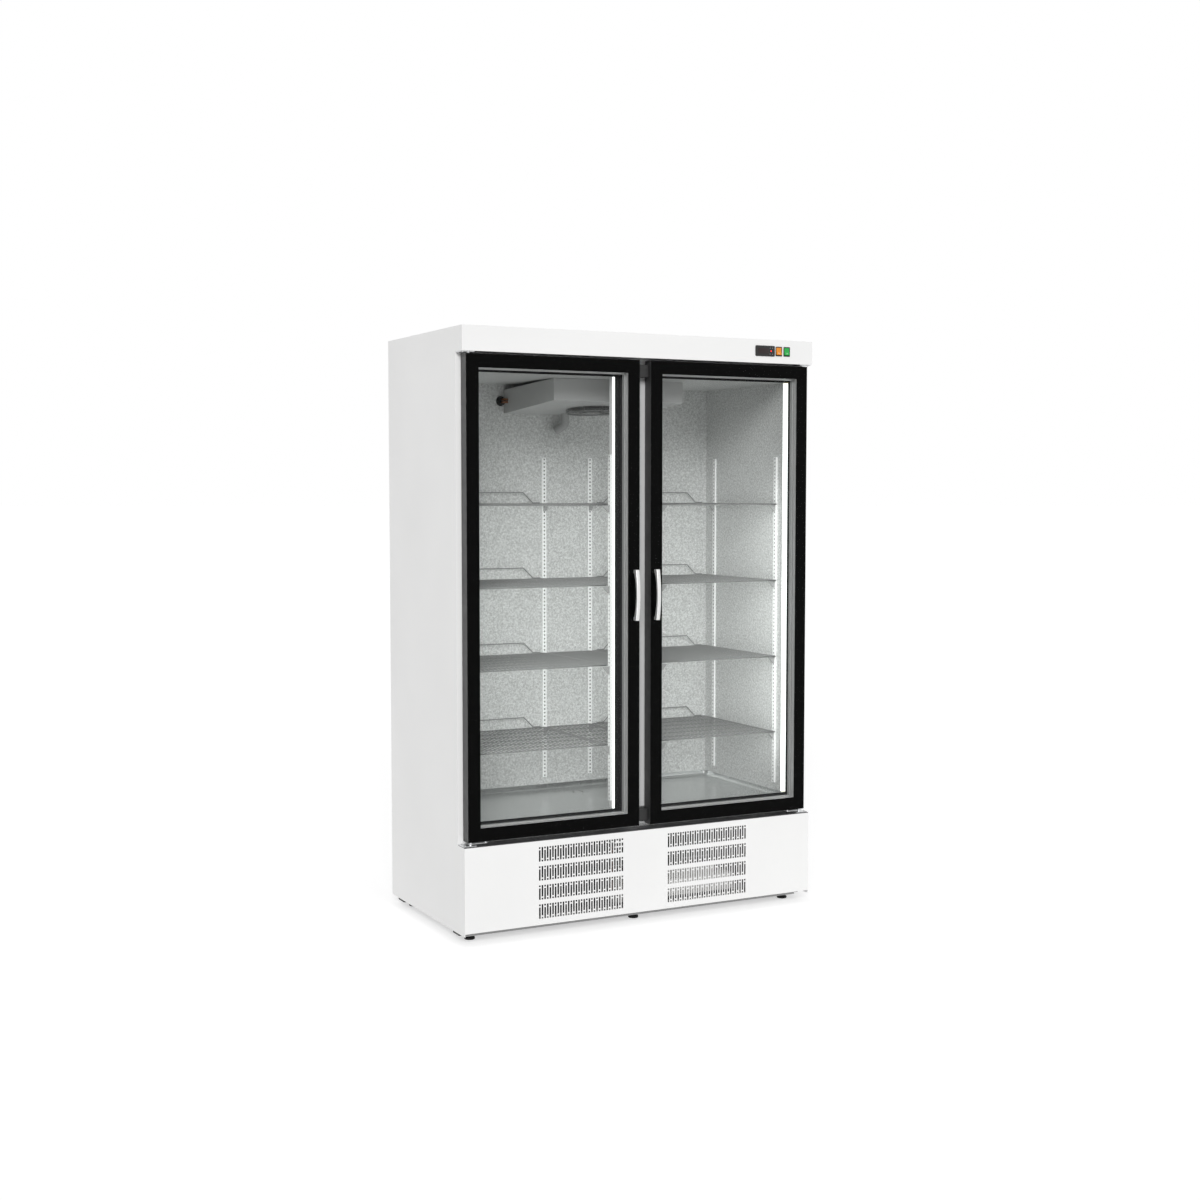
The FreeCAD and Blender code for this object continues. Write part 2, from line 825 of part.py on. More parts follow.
def evaporator_coil():
    """Finned coil behind the fan, with four tubes through it."""
    half = num("evap_coil_half")
    fins = count("evap_coil_fins")
    y_low = num("front + evap_fan_depth + evap_ring + 6")
    z_low = num("ceiling_level - evap_rear_drop") + 12
    deep, tall = num("evap_coil_deep"), num("evap_coil_tall")
    pieces = [
        Part.makeBox(1, deep, tall, V(-half + 2 * half * index / (fins - 1) - 0.5, y_low, z_low))
        for index in range(fins)
    ]
    for y_part in (0.28, 0.72):
        for z_part in (0.28, 0.72):
            spot = V(-half - 8, y_low + deep * y_part, z_low + tall * z_part)
            pieces.append(Part.makeCylinder(num("coil_tube_radius"), 2 * half + 16, spot, V(1, 0, 0)))
    keep("evaporator_coil", shaped("evaporator_fins", pieces[0].multiFuse(pieces[1:])))


def evaporator_guard(frame):
    """Shallow basket of ring wires on flat bars, under the air inlet."""
    wire, bar, drop = num("guard_wire"), num("guard_bar"), num("guard_drop")
    ring, plate = num("evap_ring"), num("guard_plate")
    rings = count("guard_rings")
    pieces = [Part.makeCylinder(plate, 2, V(0, 0, -drop - 1))]
    for index in range(1, rings + 1):
        radius = plate + (ring - plate) * index / rings
        pieces.append(Part.makeTorus(radius, wire, V(0, 0, wire - drop)))
    for share in (0.62, 0.24):
        pieces.append(Part.makeTorus(ring, wire, V(0, 0, -drop * share)))
    spokes = count("guard_spokes")
    for index in range(spokes):
        spoke = Part.makeBox(ring - plate + 2, bar, bar, V(plate - 2, -bar / 2, -drop - 0.8))
        post = Part.makeBox(bar, bar, drop, V(ring - bar / 2, -bar / 2, -drop - 0.1))
        for piece in (spoke, post):
            piece.rotate(V(), V(0, 0, 1), 360 * index / spokes)
            pieces.append(piece)
    shape = pieces[0].multiFuse(pieces[1:])
    shape.Placement = frame
    keep("evaporator_guard", shaped("evaporator_basket", shape))


def motor_shape(radius, length, shaft):
    """A capped motor can along +Z from the origin, with its shaft standing on top."""
    can = Part.makeCylinder(radius, length)
    rim_edges = [edge for edge in can.Edges if edge.BoundBox.ZLength < 0.01]
    can = can.makeFillet(3, rim_edges)
    return can.fuse(Part.makeCylinder(num("shaft_radius"), length + shaft))


def fan_shape(radius, hub_height, blades, bore):
    """A hub with pitched blades round it, bored for the shaft, standing on the XY plane."""
    hub_radius = num("hub_radius")
    hub = Part.makeCylinder(hub_radius, hub_height)
    pieces = []
    for index in range(blades):
        blade = Part.makeBox(radius - hub_radius + 4, hub_radius * 1.1, 1.8,
                             V(hub_radius - 4, -hub_radius * 0.55, -0.9))
        blade.rotate(V(), V(1, 0, 0), 24)
        blade.translate(V(0, 0, hub_height / 2))
        blade.rotate(V(), V(0, 0, 1), 360 * index / blades)
        pieces.append(blade)
    sweep = Part.makeCylinder(radius, hub_height * 3, V(0, 0, -hub_height))
    wheel = hub.multiFuse(pieces).common(sweep)
    return wheel.cut(Part.makeCylinder(bore, hub_height * 3, V(0, 0, -hub_height)))


def evaporator(frame):
    evaporator_housing(frame)
    evaporator_coil()
    evaporator_guard(frame)
    bore = num("shaft_radius + pin_clear")
    motor = motor_shape(num("motor_radius"), 30, 26)
    motor.translate(V(0, 0, -num("guard_drop") + 1.2))
    motor.Placement = frame.multiply(motor.Placement)
    keep("evaporator_motor", shaped("evaporator_motor_can", motor))
    fan = fan_shape(num("evap_fan_radius"), 18, count("fan_blades"), bore)
    fan.translate(V(0, 0, -num("guard_drop") + 36))
    fan.Placement = frame.multiply(fan.Placement)
    keep("evaporator_fan", shaped("evaporator_rotor", fan))


def bent_tube(points, radius, bend, wall=0):
    """A tube along straight runs joined by tangent arcs; hollow when a wall is given."""
    edges = []
    start = points[0]
    for before, corner, after in zip(points, points[1:], points[2:]):
        back, ahead = (before - corner).normalize(), (after - corner).normalize()
        half_turn = (math.pi - back.getAngle(ahead)) / 2
        trim = bend * math.tan(half_turn)
        enter, leave = corner + back * trim, corner + ahead * trim
        middle_way = (back + ahead).normalize()
        middle = corner + middle_way * (bend / math.cos(half_turn) - bend)
        edges.append(Part.LineSegment(start, enter).toShape())
        edges.append(Part.Arc(enter, middle, leave).toShape())
        start = leave
    edges.append(Part.LineSegment(start, points[-1]).toShape())
    path = Part.Wire(edges)
    way = (points[1] - points[0]).normalize()

    def swept(size):
        ring = Part.Wire(Part.makeCircle(size, points[0], way))
        return path.makePipeShell([ring], True, False)

    tube = swept(radius)
    return tube.cut(swept(radius - wall)) if wall else tube


def drains(frame):
    """The unit's elbow to the back wall, and the strainer in the cold room's floor."""
    x, y = num("drain_pipe_side"), num("front + drain_pipe_depth")
    underside = num("ceiling_level - evap_rear_drop") + 8
    radius = num("drain_pipe_radius")
    level = underside - 47
    points = [V(x, y, underside), V(x, y, level), V(x - 34, y + 14, level - 24)]
    elbow = bent_tube(points, radius, 20, 2)
    above = Part.makeBox(8 * radius, 300, 60, V(-4 * radius, 0, 0))
    above.Placement = frame
    elbow = elbow.cut(above)
    ring = num("floor_drain_radius")
    centre = V(num("floor_drain_side"), num("front + floor_drain_depth"), num("floor_level"))
    flange = Part.makeCylinder(ring, 1.5, centre)
    spout = Part.makeCylinder(ring - 3.2, num("floor_level - panel_top") + 10,
                              centre - V(0, 0, num("floor_level - panel_top") + 10))
    bore = Part.makeCylinder(ring - 6, num("floor_level - panel_top") + 40,
                             centre - V(0, 0, num("floor_level - panel_top") + 20))
    body = flange.fuse(spout).cut(bore)
    bars = [
        Part.makeBox(2 * ring - 8, 2, 1.5, centre + V(4 - ring, offset - 1, 0))
        for offset in (-8, 0, 8)
    ]
    inside = Part.makeCylinder(ring - 5, 1.5, centre)
    bars = [bar.common(inside) for bar in bars]
    strainer = body.multiFuse(bars)
    keep("drain_fittings", shaped("drain_group", Part.makeCompound([elbow, strainer])))


# ---------------------------------------------------------------- controls

def controller():
    """Digital temperature controller: a thin bezel over a body behind the fascia."""
    half_wide, half_tall = "controller_width / 2", "controller_height / 2"
    bezel = rounded("controller_bezel", block(
        "controller_front",
        (f"controller_side - {half_wide}", f"controller_side + {half_wide}"),
        ("front - bezel_thick", "front"),
        (f"control_level - {half_tall}", f"control_level + {half_tall}"),
    ), "4", V(0, 1, 0))
    body = block(
        "controller_body",
        (f"controller_side - {half_wide} + 4.5", f"controller_side + {half_wide} - 4.5"),
        ("front", "face - 8"),
        (f"control_level - {half_tall} + 4.5", f"control_level + {half_tall} - 4.5"),
    )
    keep("temperature_controller", fuse("controller_unit", bezel, body))


def switch_bezel(name, centre):
    """Snap-in switch body with an open well for its rocker."""
    half_wide, half_tall = "switch_width / 2", "switch_height / 2"
    bezel = rounded(f"{name}_front", block(
        f"{name}_plate", (f"{centre} - {half_wide}", f"{centre} + {half_wide}"),
        ("front - bezel_thick", "front"),
        (f"control_level - {half_tall}", f"control_level + {half_tall}"),
    ), "2", V(0, 1, 0))
    body = block(
        f"{name}_body", (f"{centre} - {half_wide} + 2.2", f"{centre} + {half_wide} - 2.2"),
        ("front", "front + 26"),
        (f"control_level - {half_tall} + 2.2", f"control_level + {half_tall} - 2.2"),
    )
    well = block(
        f"{name}_well",
        (f"{centre} - rocker_half_width - 0.4", f"{centre} + rocker_half_width + 0.4"),
        ("front - bezel_thick - 1", "front + 18"),
        ("control_level - rocker_half_height - 2 * rocker_clear",
         "control_level + rocker_half_height + 2 * rocker_clear"),
    )
    return cut(f"{name}_hollowed", fuse(f"{name}_solid", bezel, body), well)


def rocker(label, centre):
    """Rocker with a vee face, a round back and two pivots, resting with its top pressed in."""
    half, rise = num("rocker_half_height"), num("rocker_rise")
    tilt = num("rocker_tilt")
    lift = half * math.tan(math.radians(tilt))
    x = -num("rocker_half_width")
    corners = [V(x, 0, half), V(x, -rise - lift, half), V(x, -rise, 0),
               V(x, -rise - lift, -half), V(x, 0, -half)]
    edges = [Part.LineSegment(a, b).toShape() for a, b in zip(corners, corners[1:])]
    edges.append(Part.Arc(V(x, 0, -half), V(x, half * 0.7, 0), V(x, 0, half)).toShape())
    key = Part.Face(Part.Wire(edges)).extrude(V(-2 * x, 0, 0))
    over = num("pivot_reach")
    pivots = Part.makeCylinder(num("pivot_radius"), 2 * (over - x), V(x - over, 0, 0), V(1, 0, 0))
    made = shaped(label + "_key", key.fuse(pivots))
    pivot = V(num(centre), num("front + rocker_pivot_depth"), num("control_level"))
    made.Placement = FreeCAD.Placement(pivot, FreeCAD.Rotation(V(1, 0, 0), -tilt))
    keep(label, made)


def controls():
    controller()
    keep("switch_bezels", gather(
        "switch_pair", switch_bezel("light_switch", "light_switch_side"),
        switch_bezel("power_switch", "power_switch_side"),
    ))
    rocker("light_rocker", "light_switch_side")
    rocker("power_rocker", "power_switch_side")


# ---------------------------------------------------------------- doors

def door_block(name, side, inset, deep_low, deep_high):
    """A block as large as the door less an inset all round, between two depths."""
    return block(
        name, limits(f"door_gap_half + {inset}", f"door_outer - ({inset})", side),
        (f"front + {deep_low}", f"front + {deep_high}"),
        (f"door_bottom + {inset}", f"door_top - ({inset})"),
    )


def door_ring(name, side, outer, inner, deep_low, deep_high):
    """A rectangular ring of the door between two insets and two depths."""
    return cut(
        name, door_block(name + "_outer", side, outer, deep_low, deep_high),
        door_block(name + "_hole", side, inner, f"{deep_low} - 1", f"{deep_high} + 1"),
    )


def door_frame(door, side):
    """Profile behind the front pane, its rear lip, and a seat for each hinge bush."""
    lip_front = "door_rear - 2"
    rim = door_ring(f"{door}_rim", side, "0", "frame_width", "door_front + pane", "door_rear")
    lip = door_ring(
        f"{door}_lip", side, "frame_width - 1", "border + 2 * spacer_step",
        lip_front, "door_rear",
    )
    seats = [
        block(f"{door}_seat_{name}", limits("door_outer - bush_width", "door_outer + 1", side),
              ("front + door_front + pane", "front + door_rear - 2"), span)
        for name, span in (
            ("bottom", ("door_bottom - 1", "door_bottom + bush_height")),
            ("top", ("door_top - bush_height", "door_top + 1")),
        )
    ]
    keep(f"{door}_frame", cut(
        f"{door}_profile", fuse(f"{door}_rim_and_lip", rim, lip),
        gather(f"{door}_seats", *seats),
    ))


def door_bushes(door, side):
    """Corner bushes that turn on the hinge pins."""
    bushes = []
    for name, low, high in (
        ("bottom", "door_bottom", "door_bottom + bush_height"),
        ("top", "door_top - bush_height", "door_top"),
    ):
        body = block(
            f"{door}_bush_{name}", limits("door_outer - bush_width", "door_outer", side),
            ("front + door_front + pane", "front + door_rear - 2"), (low, high),
        )
        bore = rod(
            f"{door}_bore_{name}", "pin_radius + pin_clear",
            (mirrored("pin_x", side), "pin_y", f"{low} - 1"), "bush_height + 2",
        )
        bushes.append(cut(f"{door}_bored_{name}", body, bore))
    keep(f"{door}_bushes", gather(f"{door}_bush_pair", *bushes))


def door_handle(door, side):
    """Bowed grip on two feet, clear of the glass between them."""
    low = num("handle_bottom")
    high = num("handle_bottom + handle_length")
    middle = (low + high) / 2
    face = num("front + door_front")
    end, reach = num("handle_end_reach"), num("handle_reach + door_front")
    foot, grip = num("handle_foot"), num("handle_grip_thick")
    step = 3
    outer = Part.Arc(V(0, face - end, low), V(0, face - reach, middle), V(0, face - end, high))
    inner = Part.Arc(V(0, face - step, high - foot), V(0, face - reach + grip, middle),
                     V(0, face - step, low + foot))
    lines = [(V(0, face - end, high), V(0, face, high)),
             (V(0, face, high), V(0, face, high - foot)),
             (V(0, face, high - foot), V(0, face - step, high - foot))]
    edges = [outer.toShape()]
    edges += [Part.LineSegment(a, b).toShape() for a, b in lines]
    edges.append(inner.toShape())
    lines = [(V(0, face - step, low + foot), V(0, face, low + foot)),
             (V(0, face, low + foot), V(0, face, low)),
             (V(0, face, low), V(0, face - end, low))]
    edges += [Part.LineSegment(a, b).toShape() for a, b in lines]
    wide = num("handle_width")
    bow = Part.Face(Part.Wire(edges)).extrude(V(wide, 0, 0))
    long_edges = [edge for edge in bow.Edges if edge.Length > 100]
    bow = bow.makeFillet(2.2, long_edges)
    made = shaped(f"{door}_bow", bow)
    made.Placement = FreeCAD.Placement(V(side * num("handle_side") - wide / 2, 0, 0),
                                       FreeCAD.Rotation())
    keep(f"{door}_handle", made)


def door(label, side):
    pane = rounded(
        f"{label}_front_pane",
        door_block(f"{label}_sheet", side, "0", "door_front", "door_front + pane"),
        "glass_radius", V(0, 1, 0),
    )
    keep(f"{label}_outer_glass", pane)
    first = "door_front + pane"
    second = "door_front + 2 * pane + pane_gap"
    panes = [
        door_block(f"{label}_middle_pane", side, "frame_width + 1",
                   f"{first} + pane_gap", f"{first} + pane_gap + pane"),
        door_block(f"{label}_rear_pane", side, "frame_width + 1",
                   f"{second} + pane_gap", f"{second} + pane_gap + pane"),
    ]
    keep(f"{label}_inner_glass", gather(f"{label}_panes", *panes))
    spacers = [
        door_ring(f"{label}_spacer_front", side, "border - spacer_width", "border",
                  first, f"{first} + pane_gap"),
        door_ring(f"{label}_spacer_rear", side, "border - spacer_width",
                  "border + spacer_step", second, f"{second} + pane_gap"),
    ]
    keep(f"{label}_spacers", gather(f"{label}_spacer_pair", *spacers))
    door_frame(label, side)
    keep(f"{label}_gasket", door_ring(
        f"{label}_seal", side, "gasket_outer", "gasket_outer + gasket_width",
        "door_rear", "face_depth - breaker_thickness - gasket_clear",
    ))
    door_bushes(label, side)
    door_handle(label, side)


def hinge_brackets():
    """A plate with its pin above and below each door's outer corner."""
    brackets = []
    for name, side in (("left", -1), ("right", 1)):
        pin_place = (mirrored("pin_x", side), "pin_y")
        wide = limits("half - skin - hinge_plate_width", "half - skin", side)
        deep = ("front + 8", "front + 8 + hinge_plate_depth")
        sill = "panel_top + sill_thick"
        low_plate = block(f"hinge_low_{name}", wide, deep, (sill, f"{sill} + hinge_plate_thick"))
        low_pin = rod(
            f"pin_low_{name}", "pin_radius", (*pin_place, sill),
            f"door_bottom + bush_height - pin_end_gap - ({sill})",
        )
        high_plate = block(
            f"hinge_high_{name}", wide, deep,
            ("fascia_bottom - hinge_plate_thick", "fascia_bottom"),
        )
        high_start = "door_top - bush_height + pin_end_gap"
        high_pin = rod(
            f"pin_high_{name}", "pin_radius", (*pin_place, high_start),
            f"fascia_bottom - ({high_start})",
        )
        brackets.append(fuse(f"bracket_low_{name}", low_plate, low_pin))
        brackets.append(fuse(f"bracket_high_{name}", high_plate, high_pin))
    keep("hinge_brackets", gather("hinge_group", *brackets))


# ---------------------------------------------------------------- base and feet

def rail(name, start):
    """An open channel across the base, legs down, that carries a row of feet."""
    outer = block(
        f"{name}_outer", ("-rail_half", "rail_half"), (start, f"{start} + rail_width"),
        ("rail_bottom", "panel_bottom"),
    )
    hollow = block(
        f"{name}_hollow", ("-rail_half - 1", "rail_half + 1"),
        (f"{start} + 2", f"{start} + rail_width - 2"), ("rail_bottom - 1", "panel_bottom - 2"),
    )
    return cut(name, outer, hollow)


def foot_places(depth):
    return [(text, f"front + {depth}") for text in ("-foot_side", "0", "foot_side")]


def base():
    pan = block(
        "base_pan", ("skin - half", "half - skin"), ("front + fold_length + 1", "back - 2"),
        ("panel_bottom", "panel_bottom + 2"),
    )
    front_rail = rail("front_rail", "front + rail_depth")
    rear_rail = rail("rear_rail", "front + foot_rear_depth - rail_width / 2")
    holes = []
    for row, depth in (("front", "foot_front_depth"), ("rear", "foot_rear_depth")):
        for number, (x, y) in enumerate(foot_places(depth), start=1):
            holes.append(rod(
                f"{row}_foot_hole_{number}", "stem_radius + pin_clear",
                (x, y, "rail_bottom"), "40",
            ))
    frame = fuse("base_weldment", pan, front_rail, rear_rail)
    keep("base_frame", cut("base_drilled", frame, gather("foot_holes", *holes)))
    end_caps = []
    for row, start in (("front", "front + rail_depth"),
                       ("rear", "front + foot_rear_depth - rail_width / 2")):
        for name, side in (("left", -1), ("right", 1)):
            end_caps.append(block(
                f"{row}_rail_end_{name}", limits("rail_half", "half - 4", side),
                (start, f"{start} + rail_width - 4"), ("side_bottom - 9", "side_bottom"),
            ))
    keep("rail_end_blocks", gather("rail_end_group", *end_caps))


def feet():
    """Levelling feet: a pad on a threaded stem that screws out of the rail."""
    for row, depth in (("front", "foot_front_depth"), ("rear", "foot_rear_depth")):
        group = []
        for number, (x, y) in enumerate(foot_places(depth), start=1):
            pad = rod(f"{row}_pad_{number}", "foot_radius", (x, y, "0"), "foot_height")
            stem = rod(f"{row}_stem_{number}", "stem_radius", (x, y, "foot_height - 1"),
                       "stem_top - foot_height + 1")
            group.append(fuse(f"{row}_foot_{number}", pad, stem))
        keep(f"{row}_feet", gather(f"{row}_foot_row", *group))


# ---------------------------------------------------------------- condensing unit

def unit_tray():
    """Folded tray that carries the condensing unit on the base pan."""
    keep("unit_tray", prism(
        "tray_fold", "YZ", ("-tray_half", "tray_half"),
        [("front + tray_front_depth", "panel_bottom + 2"),
         ("front + tray_rear_depth", "panel_bottom + 2"),
         ("front + tray_rear_depth", "panel_bottom + 14"),
         ("front + tray_rear_depth - 2", "panel_bottom + 14"),
         ("front + tray_rear_depth - 2", "panel_bottom + 4"),
         ("front + tray_front_depth + 2", "panel_bottom + 4"),
         ("front + tray_front_depth + 2", "panel_bottom + 14"),
         ("front + tray_front_depth", "panel_bottom + 14")],
    ))


def condensate_pan():
    """Open tray that takes the melt water, in front of the compressor."""
    wall = "pan_wall"
    bottom = "panel_bottom + 4"
    outer = block(
        "water_pan_outer", ("pan_left", "pan_right"),
        ("front + pan_front_depth", "front + pan_rear_depth"), (bottom, "pan_top"),
    )
    hollow = block(
        "water_pan_hollow", (f"pan_left + {wall}", f"pan_right - {wall}"),
        (f"front + pan_front_depth + {wall}", f"front + pan_rear_depth - {wall}"),
        (f"{bottom} + {wall}", "pan_top + 1"),
    )
    keep("condensate_pan", cut("water_pan", outer, hollow))


def condenser():
    """Finned condenser facing the left grille, its shroud, motor and fan."""
    middle, half = num("condenser_side"), num("condenser_half")
    low, high = num("panel_bottom") + 4, num("condenser_top")
    y_front = num("front + condenser_front_depth")
    thick = num("condenser_thick")
    fins = count("condenser_fins")
    pieces = [
        Part.makeBox(1, thick, high - low,
                     V(middle - half + 2 * half * index / (fins - 1) - 0.5, y_front, low))
        for index in range(fins)
    ]
    for row in (0.3, 0.7):
        for level in range(6):
            z = low + (high - low) * (level + 0.5) / 6
            spot = V(middle - half - 6, y_front + thick * row, z)
            pieces.append(Part.makeCylinder(num("coil_tube_radius"), 2 * half + 12, spot, V(1, 0, 0)))
    keep("condenser_coil", shaped("condenser_fin_block", pieces[0].multiFuse(pieces[1:])))

    fan_radius = num("condenser_fan_radius")
    centre = V(middle, y_front + thick + 30, (low + high) / 2)
    wall, depth = num("cowl_wall"), num("cowl_depth")
    box = Part.makeBox(2 * half, depth, high - low, V(middle - half, y_front + thick + 0.5, low))
    room = Part.makeBox(2 * half - 2 * wall, depth, high - low - 2 * wall,
                        V(middle - half + wall, y_front + thick + 0.5 - wall, low + wall))
    mouth = Part.makeCylinder(fan_radius + 6, 3 * depth, V(centre.x, y_front, centre.z), V(0, 1, 0))
    shroud = box.cut(room).cut(mouth)
    bracket_y = y_front + thick + 0.5 + depth
    bracket = Part.makeBox(2 * fan_radius + 40, 3, 24,
                           V(centre.x - fan_radius - 20, bracket_y, centre.z - 12))
    keep("condenser_shroud", shaped("condenser_cowl", shroud.fuse(bracket)))

    turned = FreeCAD.Rotation(V(1, 0, 0), 90)
    motor = motor_shape(num("motor_radius"), 44, 0)
    shaft = Part.makeCylinder(num("shaft_radius"), 44, V(0, 0, 40))
    motor = motor.fuse(shaft)
    motor.Placement = FreeCAD.Placement(V(centre.x, bracket_y + 3 + 44, centre.z), turned)
    slot = Part.makeCylinder(num("shaft_radius + 2"), 20, V(centre.x, bracket_y - 8, centre.z),
                             V(0, 1, 0))
    cowl = sub_parts["condenser_shroud"]
    cowl.Shape = cowl.Shape.cut(slot)
    keep("condenser_motor", shaped("condenser_motor_can", motor))

    fan = fan_shape(fan_radius, 20, count("fan_blades"), num("shaft_radius + pin_clear"))
    fan.Placement = FreeCAD.Placement(V(centre.x, bracket_y - 8, centre.z), turned)
    keep("condenser_fan", shaped("condenser_rotor", fan))


def compressor():
    """Welded compressor shell on a foot plate."""
    radius, height = num("compressor_radius"), num("compressor_height")
    base_level = num("panel_bottom") + 4
    centre = V(num("compressor_side"), num("front + compressor_depth"), base_level)
    gap, rounding = num("shell_gap"), num("shell_rounding")
    shell = Part.makeCylinder(radius, height - gap, centre + V(0, 0, gap))
    rims = [edge for edge in shell.Edges if edge.BoundBox.ZLength < 0.01]
    shell = shell.makeFillet(rounding, rims)
    post_radius, post_height = num("grommet_radius"), num("grommet_height")
    plate = Part.makeBox(2 * radius + 20, 2 * radius - 30, 4,
                         centre + V(-radius - 10, -radius + 15, post_height))
    posts = [
        Part.makeCylinder(post_radius, post_height,
                          centre + V(dx * (radius - 6), dy * (radius - rounding), 0))
        for dx in (-1, 1) for dy in (-1, 1)
    ]
    weld = Part.makeCylinder(radius * 0.55, 12, centre + V(0, 0, gap - 6))
    wide, deep, tall = (num(f"terminal_{word}") for word in ("wide", "deep", "tall"))
    box = Part.makeBox(wide, deep, tall, centre + V(-wide / 2, 8 - deep - radius, tall))
    keep("compressor", shaped("compressor_shell", shell.multiFuse([plate, weld, box, *posts])))


def refrigerant_pipes():
    """Suction and discharge tubes from the compressor towards the two coils."""
    radius = num("tube_radius")
    top = num("panel_bottom + 4 + compressor_height")
    x, y = num("compressor_side"), num("front + compressor_depth")
    coil_x = num("condenser_side + condenser_half") + 26
    coil_y = num("front + condenser_front_depth") + 24
    out, rise = num("stub_side"), top + num("tube_rise")
    discharge = [V(x - out, y, top), V(x - out, y, rise), V(coil_x, y, rise),
                 V(coil_x, coil_y, rise), V(coil_x, coil_y, 100),
                 V(coil_x - 19, coil_y, 100)]
    rear = num("back") - 50
    suction = [V(x + out, y, top), V(x + out, y, rise), V(x + out, rear, rise),
               V(x + out, rear, num("panel_top") - 6)]
    tubes = [bent_tube(discharge, radius, 9), bent_tube(suction, radius, 14)]
    keep("refrigerant_pipes", shaped("refrigerant_tubes", Part.makeCompound(tubes)))


def rear_of_base():
    """Slotted cover over the machine room's rear, and the gland for the supply cord."""
    y = num("front + rear_grille_depth")
    half, low, high = num("half - skin"), num("panel_bottom") + 4, num("panel_top") - 4
    plate = Part.makeBox(2 * half, num("skin"), high - low, V(-half, y, low))
    long, tall = num("vent_long"), num("vent_tall")
    side = count("vent_columns") // 2
    slots = [
        Part.makeBox(long, 4, tall,
                     V(column * num("vent_pitch") - long / 2, y - 1,
                       low + num("vent_start") + row * num("vent_row_pitch")))
        for column in range(-side, side + 1) for row in range(count("vent_rows"))
    ]
    x, z = num("gland_side"), num("gland_level")
    radius, collar_radius = num("gland_radius"), num("gland_collar")
    hole = Part.makeCylinder(radius + 0.1, 6, V(x, y - 2, z), V(0, 1, 0))
    keep("rear_grille", shaped("rear_cover", plate.cut(Part.makeCompound(slots)).cut(hole)))
    length = num("gland_length")
    start = V(x, y - length / 2, z)
    body = Part.makeCylinder(radius, length, start, V(0, 1, 0))
    nut = Part.makeCylinder(collar_radius, 5, V(x, y - 5.1, z), V(0, 1, 0))
    collar = Part.makeCylinder(collar_radius, 6, V(x, y + 1.3, z), V(0, 1, 0))
    hollow = Part.makeCylinder(num("gland_bore"), 2 * length, V(x, y - length, z), V(0, 1, 0))
    gland = body.multiFuse([nut, collar]).cut(hollow)
    keep("cable_gland", shaped("gland_body", gland))


def machine_room():
    unit_tray()
    condensate_pan()
    condenser()
    compressor()
    refrigerant_pipes()
    rear_of_base()


# ---------------------------------------------------------------- build and write

def check_document():
    """Stop on any failed object, and on any sub-part that is null or invalid."""
    failed = [made.Name for made in doc.Objects
              if "Invalid" in made.State or "Error" in made.State]
    for label, made in sub_parts.items():
        if made.Shape.isNull() or not made.Shape.isValid():
            failed.append(label)
    if failed:
        raise RuntimeError("failed: " + ", ".join(failed))


def write_parts():
    os.makedirs("parts", exist_ok=True)
    for label, made in sub_parts.items():
        made.Shape.exportStep(f"parts/{label}.step")
    print(len(sub_parts), "sub-parts written")


outer_shell()
cold_room()
unit_frame = evaporator_frame()
evaporator(unit_frame)
drains(unit_frame)
controls()
for door_label, door_side in (("door_left", -1), ("door_right", 1)):
    door(door_label, door_side)
hinge_brackets()
base()
feet()
machine_room()
doc.recompute()
check_document()
write_parts()
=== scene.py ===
"""Looks of a two-door refrigerated display cabinet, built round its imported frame.

Metres, +Z up, the doors face -Y. Every place is worked out from the frame's own boxes.
"""
import math

import bmesh
import bpy
from mathutils import Matrix, Vector


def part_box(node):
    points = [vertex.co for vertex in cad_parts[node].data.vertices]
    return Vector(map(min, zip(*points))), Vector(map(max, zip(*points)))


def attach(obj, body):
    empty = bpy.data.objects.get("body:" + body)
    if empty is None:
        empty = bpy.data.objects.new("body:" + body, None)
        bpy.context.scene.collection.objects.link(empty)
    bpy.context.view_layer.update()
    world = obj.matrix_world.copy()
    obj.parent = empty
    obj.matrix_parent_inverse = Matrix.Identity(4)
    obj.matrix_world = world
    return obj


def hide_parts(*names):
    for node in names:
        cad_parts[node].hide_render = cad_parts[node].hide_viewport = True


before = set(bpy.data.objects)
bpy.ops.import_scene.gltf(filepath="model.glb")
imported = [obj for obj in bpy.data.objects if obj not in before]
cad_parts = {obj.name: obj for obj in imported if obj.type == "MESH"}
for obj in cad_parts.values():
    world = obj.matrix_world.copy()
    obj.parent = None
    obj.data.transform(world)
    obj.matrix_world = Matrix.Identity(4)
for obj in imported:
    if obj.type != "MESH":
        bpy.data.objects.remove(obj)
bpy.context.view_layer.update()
MM = 0.001

# Where the camera stands, and its lens on a 36 mm sensor.
CAMERA_PLACE = (-2.826, -5.4415, 1.5177)
CAMERA_TURN = math.radians(27.38)
CAMERA_DIP = math.radians(3.66)
CAMERA_LENS = 50.2
SENSOR_WIDTH = 36

# The doors' black print, the hinges' plates and the slope of a rocker's face in degrees.
BORDER = 46 * MM
HINGE_PLATE = 3 * MM
ROCKER_FACE_TILT = 16

# The slotted shelf standards and where they stand.
STANDARD_DEEP = 6 * MM
STANDARD_SLOTS = 86
STANDARD_BACK_SIDE = 97 * MM
SIDE_STANDARD_FRONT = 124 * MM
SIDE_STANDARD_REAR = 559 * MM
POST_STANDARD_INSET = 9.5 * MM
# The slots' size, and the dark plates set just behind them as painted shade.
SLOT_HALF_WIDE = 2.4 * MM
SLOT_HALF_TALL = 2.65 * MM
SLOT_RECESS = 0.4 * MM
SLOT_SHADE_PLATE = 0.5 * MM

# The wire shelves and the raised stops at their rear.
SHELF_LEVELS = 4
SHELF_PITCH = 283 * MM
SHELF_WIRE = 3.6 * MM
SHELF_RIM = 5 * MM
SHELF_WIRE_PITCH = 16.4 * MM
SHELF_BARS = 6
STOP_HEIGHT = 38 * MM
STOP_TOP_HALF = 167 * MM
STOP_FOOT = 30 * MM

